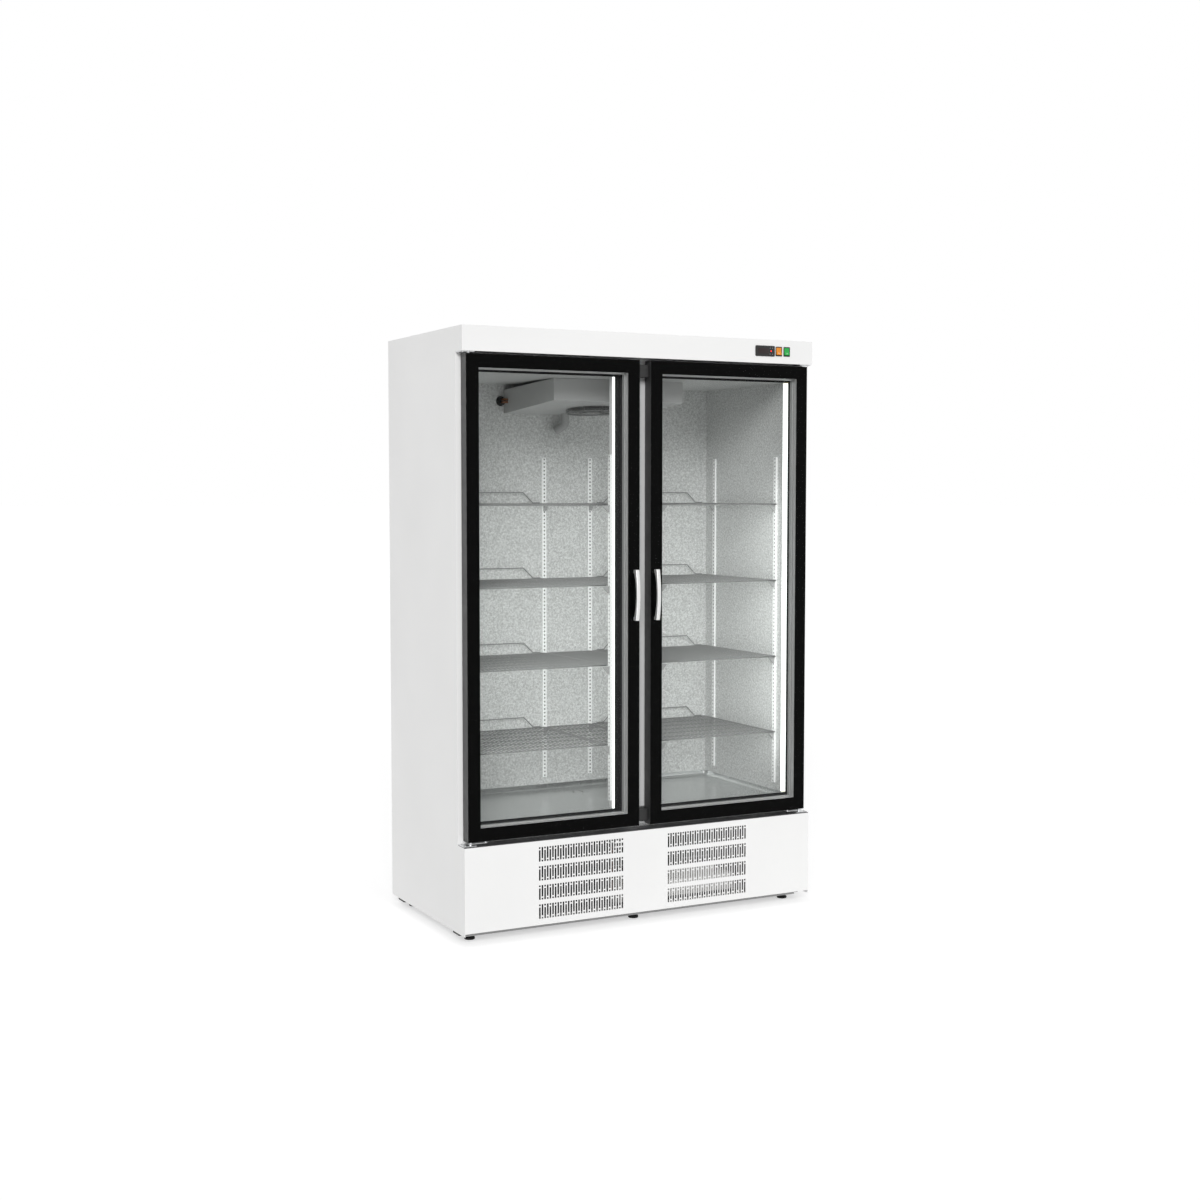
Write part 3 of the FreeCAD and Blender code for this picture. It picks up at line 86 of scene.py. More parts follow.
# Light levels: the even world, the strips' covers, the room lamps in watts, and the sun.
WORLD_LEVEL = 0.5
LIGHT_STRIP_LEVEL = 1.4
ROOM_POWER = 3.0
SUN_LEVEL = 0.62
SUN_FROM = (-0.42, -0.8, 0.42)
SUN_SPREAD = math.radians(24)

# The room lamps: one behind each door, a little below the middle of the light strips.
ROOM_LAMP_WIDE = 440 * MM
ROOM_LAMP_TALL = 1000 * MM
ROOM_LAMP_DROP = 130 * MM
CENTRE_HALF = 94 * MM

# The studio floor's own grey, what is added where it is seen directly, and its side.
FLOOR_TONE = 0.66
FLOOR_GLOW = 0.52
FLOOR_SIZE = 400.0


# ---------------------------------------------------------------- material building

class Finish:
    """A node material with short calls for what its finishes share."""

    def __init__(self, name, colour, roughness, **sockets):
        self.material = bpy.data.materials.new(name)
        self.material.use_nodes = True
        self.tree = self.material.node_tree
        self.shader = self.tree.nodes["Principled BSDF"]
        self.shader.inputs["Base Color"].default_value = (*colour, 1)
        self.shader.inputs["Roughness"].default_value = roughness
        for name, amount in sockets.items():
            self.shader.inputs[name.replace("_", " ")].default_value = amount
        self.coordinates = self.tree.nodes.new("ShaderNodeTexCoord")

    def node(self, kind, **inputs):
        made = self.tree.nodes.new("ShaderNode" + kind)
        for name, amount in inputs.items():
            self.put(made.inputs[name.replace("_", " ")], amount)
        return made

    def put(self, socket, amount):
        if isinstance(amount, bpy.types.NodeSocket):
            self.tree.links.new(amount, socket)
        else:
            socket.default_value = amount

    def place(self, scale=(1, 1, 1)):
        """Object coordinates, stretched along the axes."""
        mapping = self.node("Mapping", Vector=self.coordinates.outputs["Object"])
        mapping.inputs["Scale"].default_value = scale
        return mapping.outputs["Vector"]

    def noise(self, scale, detail=3.0, stretch=(1, 1, 1), roughness=0.5):
        made = self.node(
            "TexNoise", Vector=self.place(stretch), Scale=scale, Detail=detail, Roughness=roughness,
        )
        return made.outputs["Fac"]

    def ramp(self, source, stops):
        """Colours or greys along a source: (place, grey or colour) pairs."""
        made = self.node("ValToRGB", Fac=source)
        elements = made.color_ramp.elements
        while len(elements) < len(stops):
            elements.new(0.5)
        for element, (place, colour) in zip(elements, stops):
            element.position = place
            grey = isinstance(colour, (int, float))
            element.color = (colour, colour, colour, 1) if grey else (*colour, 1)
        return made.outputs["Color"]

    def tint(self, source, low, high):
        """Base colour between two colours along a source."""
        self.put(self.shader.inputs["Base Color"], self.ramp(source, [(0.3, low), (0.7, high)]))
        return self

    def gloss(self, source, low, high):
        """Roughness between two values along a source."""
        spread = self.node("MapRange", Value=source, From_Min=0.3, From_Max=0.7,
                           To_Min=low, To_Max=high)
        self.put(self.shader.inputs["Roughness"], spread.outputs["Result"])
        return self

    def relief(self, source, strength, distance=MM):
        """Bump from a source, laid over any that is there."""
        made = self.node("Bump", Height=source, Strength=strength, Distance=distance)
        before = self.shader.inputs["Normal"].links
        if before:
            self.put(made.inputs["Normal"], before[0].from_socket)
        self.put(self.shader.inputs["Normal"], made.outputs["Normal"])
        return self


def shade(colour, by):
    """A colour made lighter or darker by a share."""
    return tuple(min(1.0, channel * (1 + by)) for channel in colour)


def powder_coat(name, colour, roughness=0.38, variation=0.02):
    """Painted sheet steel: faint orange peel, a trace of uneven gloss."""
    made = Finish(name, colour, roughness, Specular_IOR_Level=0.5)
    broad = made.noise(2.2, 2.0)
    made.tint(broad, shade(colour, -variation), shade(colour, variation))
    made.gloss(made.noise(14, 3.0), roughness - 0.04, roughness + 0.05)
    return made.relief(made.noise(650, 2.0), 0.05, 0.2 * MM).material


def liner_sheet(name, colour, roughness=0.34):
    """Coated liner sheet with a fine mottled emboss."""
    made = Finish(name, colour, roughness, Metallic=0.15)
    mottle = made.noise(150, 2.0, roughness=0.6)
    made.tint(mottle, shade(colour, -0.3), shade(colour, 0.24))
    made.gloss(made.noise(30, 3.0), roughness - 0.05, roughness + 0.1)
    made.relief(mottle, 0.25, 0.4 * MM)
    return made.material


def brushed_metal(name, colour, roughness=0.28, stretch=(1, 60, 60), metallic=1.0):
    """Metal with fine lines along one axis."""
    made = Finish(name, colour, roughness, Metallic=metallic)
    lines = made.noise(18, 5.0, stretch)
    made.tint(lines, shade(colour, -0.1), shade(colour, 0.08))
    made.gloss(lines, roughness - 0.06, roughness + 0.1)
    return made.relief(lines, 0.08, 0.1 * MM).material


def moulded_plastic(name, colour, roughness=0.45, grain=900, depth=0.12):
    """Moulded plastic with a fine grain and slight wear in its gloss."""
    made = Finish(name, colour, roughness)
    made.tint(made.noise(6, 2.0), shade(colour, -0.06), shade(colour, 0.06))
    made.gloss(made.noise(25, 3.0), roughness - 0.06, roughness + 0.08)
    return made.relief(made.noise(grain, 2.0), depth, 0.1 * MM).material


def soft_rubber(name, colour):
    """Extruded rubber: matte, with a dusty bloom."""
    made = Finish(name, colour, 0.75, Specular_IOR_Level=0.3)
    made.tint(made.noise(40, 4.0), shade(colour, -0.2), shade(colour, 0.5))
    return made.relief(made.noise(700, 2.0), 0.2, 0.1 * MM).material


def lit_diffuser(name, strength):
    """The light strips' milky cover, glowing evenly."""
    made = Finish(name, (0.95, 0.97, 0.96), 0.4)
    made.shader.inputs["Emission Color"].default_value = (0.96, 1.0, 0.985, 1)
    made.shader.inputs["Emission Strength"].default_value = strength
    return made.relief(made.noise(60, 2.0, (1, 1, 8)), 0.05).material


def lit_lamp(name, colour, strength):
    """A small coloured signal lamp."""
    made = Finish(name, colour, 0.3)
    made.shader.inputs["Emission Color"].default_value = (*colour, 1)
    made.shader.inputs["Emission Strength"].default_value = strength
    return made.material


def clear_pane(name, tint, mirror):
    """Flat glass: what is behind shows straight through, under a faint reflection."""
    made = Finish(name, tint, 0.02)
    tree = made.tree
    clear = made.node("BsdfTransparent", Color=(*tint, 1))
    shine = made.node("BsdfGlossy", Color=(1, 1, 1, 1), Roughness=0.015)
    facing = made.node("LayerWeight", Blend=0.5)
    slope = made.node("Math", Value=facing.outputs["Facing"])
    slope.operation = "POWER"
    slope.inputs[1].default_value = 5
    share = made.node("MapRange", Value=slope.outputs["Value"], To_Min=mirror, To_Max=0.3)
    mixed = tree.nodes.new("ShaderNodeMixShader")
    tree.links.new(share.outputs["Result"], mixed.inputs["Fac"])
    tree.links.new(clear.outputs["BSDF"], mixed.inputs[1])
    tree.links.new(shine.outputs["BSDF"], mixed.inputs[2])
    output = tree.nodes["Material Output"]
    tree.links.new(mixed.outputs["Shader"], output.inputs["Surface"])
    tree.nodes.remove(made.shader)
    return made.material


def copper_tube(name):
    """Drawn copper with darker, browner patches."""
    made = Finish(name, (0.62, 0.3, 0.17), 0.3, Metallic=1.0)
    patches = made.noise(35, 4.0)
    made.tint(patches, (0.38, 0.17, 0.1), (0.72, 0.37, 0.22))
    return made.gloss(patches, 0.4, 0.25).material


def galvanised(name):
    """Zinc-coated sheet with faint spangles."""
    made = Finish(name, (0.6, 0.61, 0.62), 0.4, Metallic=0.9)
    cells = made.node("TexVoronoi", Vector=made.place(), Scale=110.0)
    made.tint(cells.outputs["Color"], (0.575, 0.585, 0.595), (0.615, 0.625, 0.635))
    return made.gloss(made.noise(20, 3.0), 0.34, 0.5).material


def build_materials():
    """Every finish of the cabinet, by a plain word."""
    return {
        "white_front": powder_coat("white_front_paint", (0.9, 0.9, 0.895), 0.32),
        "white_side": powder_coat("white_side_paint", (0.92, 0.92, 0.915), 0.4),
        "galvanised": galvanised("galvanised_sheet"),
        "base_grey": powder_coat("base_grey_paint", (0.55, 0.55, 0.55), 0.5),
        "sill": moulded_plastic("sill_grey_plastic", (0.045, 0.045, 0.047), 0.4),
        "liner": liner_sheet("liner_sheet", (0.6, 0.603, 0.601)),
        "floor_pan": brushed_metal("floor_pan_steel", (0.66, 0.67, 0.67), 0.24, (60, 60, 60), 0.85),
        "mullion": powder_coat("mullion_paint", (0.7, 0.7, 0.7), 0.4),
        "foam": moulded_plastic("foam_cream", (0.75, 0.66, 0.42), 0.9, 120, 0.5),
        "black_plastic": moulded_plastic("black_plastic", (0.012, 0.012, 0.012), 0.5),
        "breaker": moulded_plastic("breaker_black", (0.02, 0.02, 0.021), 0.4),
        "light": lit_diffuser("light_strip_cover", LIGHT_STRIP_LEVEL),
        "standard": powder_coat("standard_white", (0.84, 0.84, 0.84), 0.35),
        "shelf_wire": powder_coat("shelf_wire_coating", (0.22, 0.22, 0.22), 0.32),
        "clip": powder_coat("clip_coating", (0.35, 0.35, 0.35), 0.35),
        "evaporator": powder_coat("evaporator_paint", (0.47, 0.47, 0.47), 0.4),
        "fins": brushed_metal("fin_aluminium", (0.7, 0.71, 0.72), 0.35, (1, 60, 1)),
        "guard": powder_coat("guard_wire_coating", (0.2, 0.2, 0.2), 0.35),
        "motor": powder_coat("motor_black_paint", (0.02, 0.02, 0.02), 0.45),
        "fan": moulded_plastic("fan_grey_plastic", (0.035, 0.035, 0.037), 0.4),
        "drain": moulded_plastic("drain_grey_plastic", (0.35, 0.35, 0.35), 0.45),
        "controller": moulded_plastic("controller_black", (0.01, 0.01, 0.01), 0.25),
        "switch": moulded_plastic("switch_black", (0.012, 0.012, 0.012), 0.35),
        "rocker_orange": moulded_plastic("rocker_orange", (0.8, 0.27, 0.015), 0.25),
        "rocker_green": moulded_plastic("rocker_green", (0.01, 0.4, 0.06), 0.25),
        "hinge": brushed_metal("hinge_steel", (0.7, 0.71, 0.72), 0.3, (1, 40, 40)),
        # The unit tray's near-black is painted shade for the dark machine room seen through the
        # grille.
        "tray": powder_coat("tray_painted_shade", (0.03, 0.03, 0.03), 0.5),
        "condenser": moulded_plastic("condenser_black_fins", (0.014, 0.014, 0.014), 0.6, 300),
        "water_pan": moulded_plastic("water_pan_white", (0.82, 0.82, 0.8), 0.4),
        "compressor": powder_coat("compressor_black_paint", (0.016, 0.016, 0.016), 0.35),
        "copper": copper_tube("copper_tube"),
        "gland": moulded_plastic("gland_black", (0.015, 0.015, 0.015), 0.5),
        "rear_cover": powder_coat("rear_cover_grey", (0.3, 0.3, 0.3), 0.45),
        "rubber": soft_rubber("foot_rubber", (0.014, 0.014, 0.014)),
        "front_glass": clear_pane("front_glass", (0.985, 0.99, 0.987), 0.0006),
        "inner_glass": clear_pane("inner_glass", (0.985, 0.99, 0.987), 0.001),
        "border": Finish("border_black_print", (0.0006, 0.0006, 0.0006), 0.35,
                         Specular_IOR_Level=0.05).material,
        "spacer": brushed_metal("spacer_aluminium", (0.52, 0.52, 0.52), 0.4, (60, 60, 1), 0.5),
        "display": Finish("display_window", (0.012, 0.002, 0.002), 0.08).material,
        "red_lamp": lit_lamp("red_lamp", (1.0, 0.02, 0.02), 1.5),
        "key_mark": moulded_plastic("key_grey", (0.25, 0.25, 0.25), 0.4),
        "rocker_mark": moulded_plastic("rocker_mark_white", (0.85, 0.85, 0.85), 0.4),
        "screw": brushed_metal("screw_zinc", (0.62, 0.62, 0.62), 0.3, (30, 30, 30)),
        "grommet": soft_rubber("grommet_rubber", (0.016, 0.016, 0.016)),
        "frame": moulded_plastic("door_frame_grey", (0.03, 0.03, 0.031), 0.4),
        "gasket": soft_rubber("gasket_rubber", (0.01, 0.01, 0.01)),
        "handle": brushed_metal("handle_satin_silver", (0.8, 0.8, 0.79), 0.32, (60, 60, 1), 0.7),
        "bush": moulded_plastic("bush_black", (0.012, 0.012, 0.012), 0.4),
    }


NODE_FINISH = {
    "side_panel_left": "white_side",
    "side_panel_right": "white_side",
    "back_panel": "galvanised",
    "top_panel": "white_side",
    "fascia_panel": "white_front",
    "lower_front_panel": "white_front",
    "door_sill": "sill",
    "base_frame": "base_grey",
    "rail_end_blocks": "black_plastic",
    "foam_insulation": "foam",
    "liner_sides": "liner",
    "liner_back": "liner",
    "liner_ceiling": "liner",
    "floor_pan": "floor_pan",
    "breaker_frames": "breaker",
    "mullion": "mullion",
    "gap_blocks": "black_plastic",
    "led_strips": "light",
    "shelf_standards": "standard",
    "shelves_left": "shelf_wire",
    "shelves_centre": "shelf_wire",
    "shelves_right": "shelf_wire",
    "shelf_clips": "clip",
    "evaporator_housing": "evaporator",
    "evaporator_coil": "fins",
    "evaporator_guard": "guard",
    "evaporator_motor": "motor",
    "evaporator_fan": "fan",
    "drain_fittings": "drain",
    "temperature_controller": "controller",
    "switch_bezels": "switch",
    "light_rocker": "rocker_orange",
    "power_rocker": "rocker_green",
    "hinge_brackets": "hinge",
    "unit_tray": "tray",
    "condensate_pan": "water_pan",
    "compressor": "compressor",
    "condenser_coil": "condenser",
    "condenser_shroud": "motor",
    "condenser_motor": "motor",
    "condenser_fan": "fan",
    "refrigerant_pipes": "copper",
    "cable_gland": "gland",
    "rear_grille": "rear_cover",
    "front_feet": "rubber",
    "rear_feet": "rubber",
}

DOOR_FINISH = {
    "outer_glass": "front_glass",
    "inner_glass": "inner_glass",
    "spacers": "spacer",
    "frame": "frame",
    "gasket": "gasket",
    "handle": "handle",
    "bushes": "bush",
}


def paint_nodes(finishes):
    """Give every node of the frame its finish."""
    wanted = dict(NODE_FINISH)
    for door in ("door_left", "door_right"):
        for part, finish in DOOR_FINISH.items():
            wanted[f"{door}_{part}"] = finish
    for node, finish in wanted.items():
        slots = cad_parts[node].data.materials
        slots.clear()
        slots.append(finishes[finish])
        if node.endswith("glass"):
            let_light_through(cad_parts[node])


def let_light_through(pane):
    """Clear glass neither shades the room behind it nor stops the light between its walls."""
    pane.visible_shadow = False
    pane.visible_diffuse = False


# ---------------------------------------------------------------- mesh helpers

def finish_piece(name, mesh, finish, body, smooth_under=35):
    """A finished mesh as a piece that rides on a body."""
    bmesh.ops.recalc_face_normals(mesh, faces=mesh.faces)
    data = bpy.data.meshes.new(name)
    mesh.to_mesh(data)
    mesh.free()
    data.shade_smooth()
    data.set_sharp_from_angle(angle=math.radians(smooth_under))
    data.materials.append(finish)
    piece = bpy.data.objects.new(name, data)
    bpy.context.scene.collection.objects.link(piece)
    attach(piece, body)
    return piece


def add_block(mesh, low, high):
    """A block between two corners; returns its vertices."""
    made = bmesh.ops.create_cube(mesh, size=1.0)["verts"]
    low, high = Vector(low), Vector(high)
    bmesh.ops.scale(mesh, vec=high - low, verts=made)
    bmesh.ops.translate(mesh, vec=(low + high) / 2, verts=made)
    return made


def add_rod(mesh, start, end, radius, sides=8, end_radius=None):
    """A round rod between two points; returns its vertices."""
    start, end = Vector(start), Vector(end)
    way = end - start
    turn = way.to_track_quat("Z", "Y").to_matrix().to_4x4()
    place = Matrix.Translation((start + end) / 2) @ turn
    made = bmesh.ops.create_cone(
        mesh, cap_ends=True, segments=sides, radius1=radius,
        radius2=radius if end_radius is None else end_radius, depth=way.length, matrix=place,
    )
    return made["verts"]


def soften(mesh, verts, width, segments=2):
    """Bevel every edge of the shape that these vertices make."""
    edges = {edge for vert in verts for edge in vert.link_edges}
    bmesh.ops.bevel(
        mesh, geom=list(edges), offset=width, offset_type="OFFSET", segments=segments,
        profile=0.5, affect="EDGES", material=-1, clamp_overlap=True,
    )


def add_wire(mesh, points, radius, sides=8):
    """Round wire along straight runs, with a ball at each bend."""
    for start, end in zip(points, points[1:]):
        add_rod(mesh, start, end, radius, sides)
    for bend in points[1:-1]:
        bmesh.ops.create_icosphere(mesh, subdivisions=1, radius=radius,
                                   matrix=Matrix.Translation(bend))


def add_turned(mesh, profile, centre, steps=24):
    """A profile of (radius, height) pairs spun round an upright axis."""
    centre = Vector(centre)
    verts = [mesh.verts.new(centre + Vector((radius, 0, height))) for radius, height in profile]
    edges = [mesh.edges.new(pair) for pair in zip(verts, verts[1:])]
    bmesh.ops.spin(mesh, geom=verts + edges, cent=centre, axis=(0, 0, 1), angle=2 * math.pi,
                   steps=steps, use_merge=True)
    bmesh.ops.remove_doubles(mesh, verts=mesh.verts, dist=0.01 * MM)


def add_screw(mesh, place, way, radius=4 * MM, height=2.4 * MM):
    """A domed screw head with a cross recess, standing on a face along a direction."""
    turn = Vector(way).to_track_quat("Z", "Y").to_matrix().to_4x4()
    where = Matrix.Translation(place) @ turn
    bmesh.ops.create_cone(
        mesh, cap_ends=True, segments=16, radius1=radius, radius2=radius * 0.62, depth=height,
        matrix=where @ Matrix.Translation((0, 0, height / 2)),
    )
    for quarter in (0, 90):
        arm = bmesh.ops.create_cube(mesh, size=1.0)["verts"]
        size = Matrix.Diagonal((radius * 0.9, radius * 0.2, 0.3 * MM, 1))
        spin = Matrix.Rotation(math.radians(quarter), 4, "Z")
        lift = Matrix.Translation((0, 0, height))
        bmesh.ops.transform(mesh, matrix=where @ lift @ spin @ size, verts=arm)


# ---------------------------------------------------------------- cold room

def wire_shelves(column, has_stop, finishes):
    """The four welded wire shelves of one column, in round wire."""
    low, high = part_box(f"shelves_{column}")
    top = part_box("shelves_left")[1].z - STOP_HEIGHT - SHELF_WIRE
    thin, thick = SHELF_WIRE / 2, SHELF_RIM / 2
    wires = round((high.x - low.x) / SHELF_WIRE_PITCH) - 1
    mesh = bmesh.new()
    for level in range(SHELF_LEVELS):
        z = top - level * SHELF_PITCH
        rim_z = z - thick
        west, east = low.x + thick, high.x - thick
        front, rear = low.y + thick, high.y - thick
        corners = [Vector((x, y, rim_z)) for x, y in
                   ((west, front), (east, front), (east, rear), (west, rear))]
        add_wire(mesh, corners + corners[:2], thick)
        for index in range(1, wires + 1):
            x = low.x + thick + (high.x - low.x - SHELF_RIM) * index / (wires + 1)
            add_rod(mesh, (x, low.y + MM, z - thin), (x, high.y - MM, z - thin), thin)
        for index in range(1, SHELF_BARS):
            y = low.y + thin + (high.y - low.y - SHELF_WIRE) * index / SHELF_BARS
            add_rod(mesh, (low.x + MM, y, z - 2.5 * thin), (high.x - MM, y, z - 2.5 * thin), thin)
        if has_stop:
            middle = (low.x + high.x) / 2
            rise = z + thin
            half = [(STOP_TOP_HALF + STOP_HEIGHT + STOP_FOOT, rise),
                    (STOP_TOP_HALF + STOP_HEIGHT, rise), (STOP_TOP_HALF, rise + STOP_HEIGHT)]
            line = [(-x, up) for x, up in half] + half[::-1]
            add_wire(mesh, [Vector((middle + x, rear, up)) for x, up in line], thin)
    piece = finish_piece(f"wire_shelves_{column}", mesh, finishes["shelf_wire"], "cabinet")
    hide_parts(f"shelves_{column}")


def standard_slots(finishes):
    """Dark plates just behind every slot in the shelf standards: painted shade standing for the
    shadow inside the slots.
    """
    low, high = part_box("shelf_standards")
    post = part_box("mullion")[1]
    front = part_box("side_panel_left")[0].y
    pitch = (high.z - low.z) / STANDARD_SLOTS
    wide, tall, thin = SLOT_HALF_WIDE, SLOT_HALF_TALL, SLOT_SHADE_PLATE
    back = high.y - STANDARD_DEEP + SLOT_RECESS
    wall = high.x - STANDARD_DEEP + SLOT_RECESS
    face = post.x + STANDARD_DEEP - SLOT_RECESS
    mesh = bmesh.new()
    for index in range(STANDARD_SLOTS):
        z = low.z + pitch * (index + 0.5)
        for side in (-1, 1):
            x = side * STANDARD_BACK_SIDE
            add_block(mesh, (x - wide, back, z - tall), (x + wide, back + thin, z + tall))
            for near, far, y in (
                (wall, wall + thin, front + SIDE_STANDARD_FRONT),
                (wall, wall + thin, front + SIDE_STANDARD_REAR),
                (face, face - thin, post.y - POST_STANDARD_INSET),
            ):
                spans = sorted((side * near, side * far))
                add_block(mesh, (spans[0], y - wide, z - tall), (spans[1], y + wide, z + tall))
    # The plates wear the black plastic finish as painted shade.
    finish_piece("standard_slots", mesh, finishes["breaker"], "cabinet")


def pipe_grommet(finishes):
    """Rubber grommet where the pipes pass through the rear wall beside the unit."""
    housing_low, housing_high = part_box("evaporator_housing")
    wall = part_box("liner_back")[0].y
    x = housing_low.x - 14 * MM
    z = housing_high.z - 60 * MM
    mesh = bmesh.new()
    collar = add_rod(mesh, (x, wall, z), (x, wall - 12 * MM, z), 19 * MM, 24, 15 * MM)
    soften(mesh, collar, 1.2 * MM)
    finish_piece("pipe_grommet", mesh, finishes["grommet"], "cabinet")
    pipes = bmesh.new()
    bend = wall - 34 * MM
    for offset in (-5 * MM, 5 * MM):
        level = z + offset
        run = [Vector((x, wall - 8 * MM, level)), Vector((x, bend, level)),
               Vector((housing_low.x + 3 * MM, bend, level))]
        add_wire(pipes, run, 4 * MM, 12)
    finish_piece("unit_pipes", pipes, finishes["copper"], "cabinet")


# ---------------------------------------------------------------- doors

def flat_ring(mesh, low, high, width):
    """A thin upright frame between two corners, this wide all round."""
    made = bmesh.ops.create_grid(mesh, x_segments=1, y_segments=1, size=0.5)["verts"]
    low, high = Vector(low), Vector(high)
    size = high - low
    bmesh.ops.rotate(mesh, verts=made, cent=(0, 0, 0), matrix=Matrix.Rotation(math.pi / 2, 3, "X"))
    bmesh.ops.scale(mesh, vec=(size.x, 1, size.z), verts=made)
    bmesh.ops.translate(mesh, vec=((low.x + high.x) / 2, low.y, (low.z + high.z) / 2), verts=made)
    middle = list({face for vert in made for face in vert.link_faces})
    rim = bmesh.ops.inset_region(mesh, faces=middle, thickness=width, use_even_offset=True,
                                 use_boundary=True)["faces"]
    bmesh.ops.delete(mesh, geom=middle, context="FACES")
    back = bmesh.ops.extrude_face_region(mesh, geom=rim)["geom"]
    moved = [part for part in back if isinstance(part, bmesh.types.BMVert)]
    bmesh.ops.translate(mesh, vec=(0, size.y, 0), verts=moved)


def black_border(door, finishes):
    """The black print round the front pane, just inside its rear face."""
    low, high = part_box(f"{door}_outer_glass")
    edge = 0.4 * MM
    mesh = bmesh.new()
    flat_ring(mesh, (low.x + edge, high.y - 0.5 * MM, low.z + edge),
              (high.x - edge, high.y - 0.1 * MM, high.z - edge), BORDER - edge)
    finish_piece(f"{door}_black_border", mesh, finishes["border"], door)


def closer_arm(door, side, finishes):
    """The bar under the door that the closing spring in the hinge turns."""
    low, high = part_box(f"{door}_bushes")
    tip = high.x if side > 0 else low.x
    start, end = sorted((tip - side * 6 * MM, tip - side * 72 * MM))
    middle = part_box(f"{door}_frame")[0].y + 9 * MM
    mesh = bmesh.new()
    bar = add_block(mesh, (start, middle - 5 * MM, low.z - 7 * MM),
                    (end, middle + 5 * MM, low.z - 4.5 * MM))
    soften(mesh, bar, 0.6 * MM)
    x = start + 5 * MM if side > 0 else end - 5 * MM
    add_rod(mesh, (x, middle, low.z - 5 * MM), (x, middle, low.z + 0.5 * MM), 3.5 * MM, 12)
    finish_piece(f"{door}_closer_arm", mesh, finishes["hinge"], door)


# ---------------------------------------------------------------- controls

def controller_face(finishes):
    """Display window, its keys and a red signal dot on the controller's bezel."""
    low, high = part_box("temperature_controller")
    face = low.y
    height = high.z - low.z
    window = bmesh.new()
    pane = add_block(window, (low.x + 12 * MM, face - 0.4 * MM, low.z + 0.24 * height),
                     (low.x + 56 * MM, face + 0.4 * MM, high.z - 0.24 * height))
    soften(window, pane, 0.3 * MM)
    finish_piece("display_window", window, finishes["display"], "cabinet")
    lamp = bmesh.new()
    spot = Vector((low.x + 66 * MM, face, low.z + 0.5 * height))
    add_rod(lamp, spot + Vector((0, 0.3 * MM, 0)), spot - Vector((0, 0.5 * MM, 0)), 2.3 * MM, 16)
    finish_piece("signal_lamp", lamp, finishes["red_lamp"], "cabinet")
    keys = bmesh.new()
    for along in (62 * MM, 72 * MM):
        for share in (0.22, 0.78):
            spot = Vector((low.x + along, face, low.z + share * height))
            add_rod(keys, spot + Vector((0, 0.3 * MM, 0)), spot - Vector((0, 0.3 * MM, 0)),
                    1.6 * MM, 12)
    finish_piece("membrane_keys", keys, finishes["key_mark"], "cabinet")


def rocker_marks(rocker, finishes):
    """A bar on the pressed half of a rocker and a ring on its raised half."""
    low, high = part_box(rocker)
    x, middle = (low.x + high.x) / 2, (low.z + high.z) / 2
    tilt = math.radians(ROCKER_FACE_TILT)
    face = low.y + (middle - low.z) * math.tan(tilt)
    mesh = bmesh.new()
    thick, inner, outer, drop = 0.3 * MM, 1.8 * MM, 2.4 * MM, 6.5 * MM
    add_turned(mesh, [(inner, -thick), (outer, -thick), (outer, thick), (inner, thick),
                      (inner, -thick)], (0, 0, 0), 20)
    turn = Matrix.Rotation(math.pi / 2 - tilt, 4, "X")
    spot = Matrix.Translation((x, face - drop * math.tan(tilt), middle - drop))
    bmesh.ops.transform(mesh, matrix=spot @ turn, verts=mesh.verts)
    add_block(mesh, (x - thick, face - 0.15 * MM, middle + 4.5 * MM),
              (x + thick, face + 0.5 * MM, middle + 9.5 * MM))
    finish_piece(f"{rocker}_marks", mesh, finishes["rocker_mark"], rocker)


# ---------------------------------------------------------------- hardware

def hinge_screws(finishes):
    """Two screws through each hinge plate."""
    low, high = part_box("hinge_brackets")
    mesh = bmesh.new()
    for x in (low.x + 8 * MM, high.x - 8 * MM):
        for y in (low.y + 7 * MM, high.y - 7 * MM):
            add_screw(mesh, (x, y, low.z + HINGE_PLATE), (0, 0, 1), 3.6 * MM, 1.8 * MM)
            add_screw(mesh, (x, y, high.z - HINGE_PLATE), (0, 0, -1), 3.6 * MM, 1.8 * MM)
    finish_piece("hinge_screws", mesh, finishes["screw"], "cabinet")


def back_screws(finishes):
    """Screws round the rear sheet and the machine room's rear cover."""
    mesh = bmesh.new()
    for node, rows in (("back_panel", 6), ("rear_grille", 2)):
        low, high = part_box(node)
        inset = 14 * MM
        for row in range(rows):
            z = low.z + inset + (high.z - low.z - 2 * inset) * row / (rows - 1)
            for column in range(4):
                if 0 < row < rows - 1 and column in (1, 2):
                    continue
                x = low.x + inset + (high.x - low.x - 2 * inset) * column / 3
                add_screw(mesh, (x, high.y, z), (0, 1, 0))
    finish_piece("back_screws", mesh, finishes["screw"], "cabinet")


def levelling_feet(row, finishes):
    """Rubber-shod pads on threaded stems."""
    low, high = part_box(f"{row}_feet")
    y = (low.y + high.y) / 2
    radius = (high.y - low.y) / 2
    mesh = bmesh.new()
    for x in (low.x + radius, (low.x + high.x) / 2, high.x - radius):
        pad = [(0, 0), (radius - 1.5 * MM, 0), (radius, 1.5 * MM), (radius, 6 * MM),
               (radius - 1 * MM, 7.5 * MM), (radius - 4 * MM, 9 * MM), (radius - 6 * MM, 13.5 * MM),
               (radius - 7 * MM, 14 * MM), (0, 14 * MM)]
        add_turned(mesh, pad, (x, y, 0), 32)
        stem = [(0, 13 * MM)]
        for turn in range(22):
            stem += [(4.2 * MM, (14 + 2 * turn) * MM), (5 * MM, (15 + 2 * turn) * MM)]
        stem.append((0, 59 * MM))
        add_turned(mesh, stem, (x, y, 0), 14)
    piece = finish_piece(f"{row}_foot_row", mesh, finishes["rubber"], f"{row}_feet",
                         30)
    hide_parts(f"{row}_feet")


# ---------------------------------------------------------------- stage, camera and lights

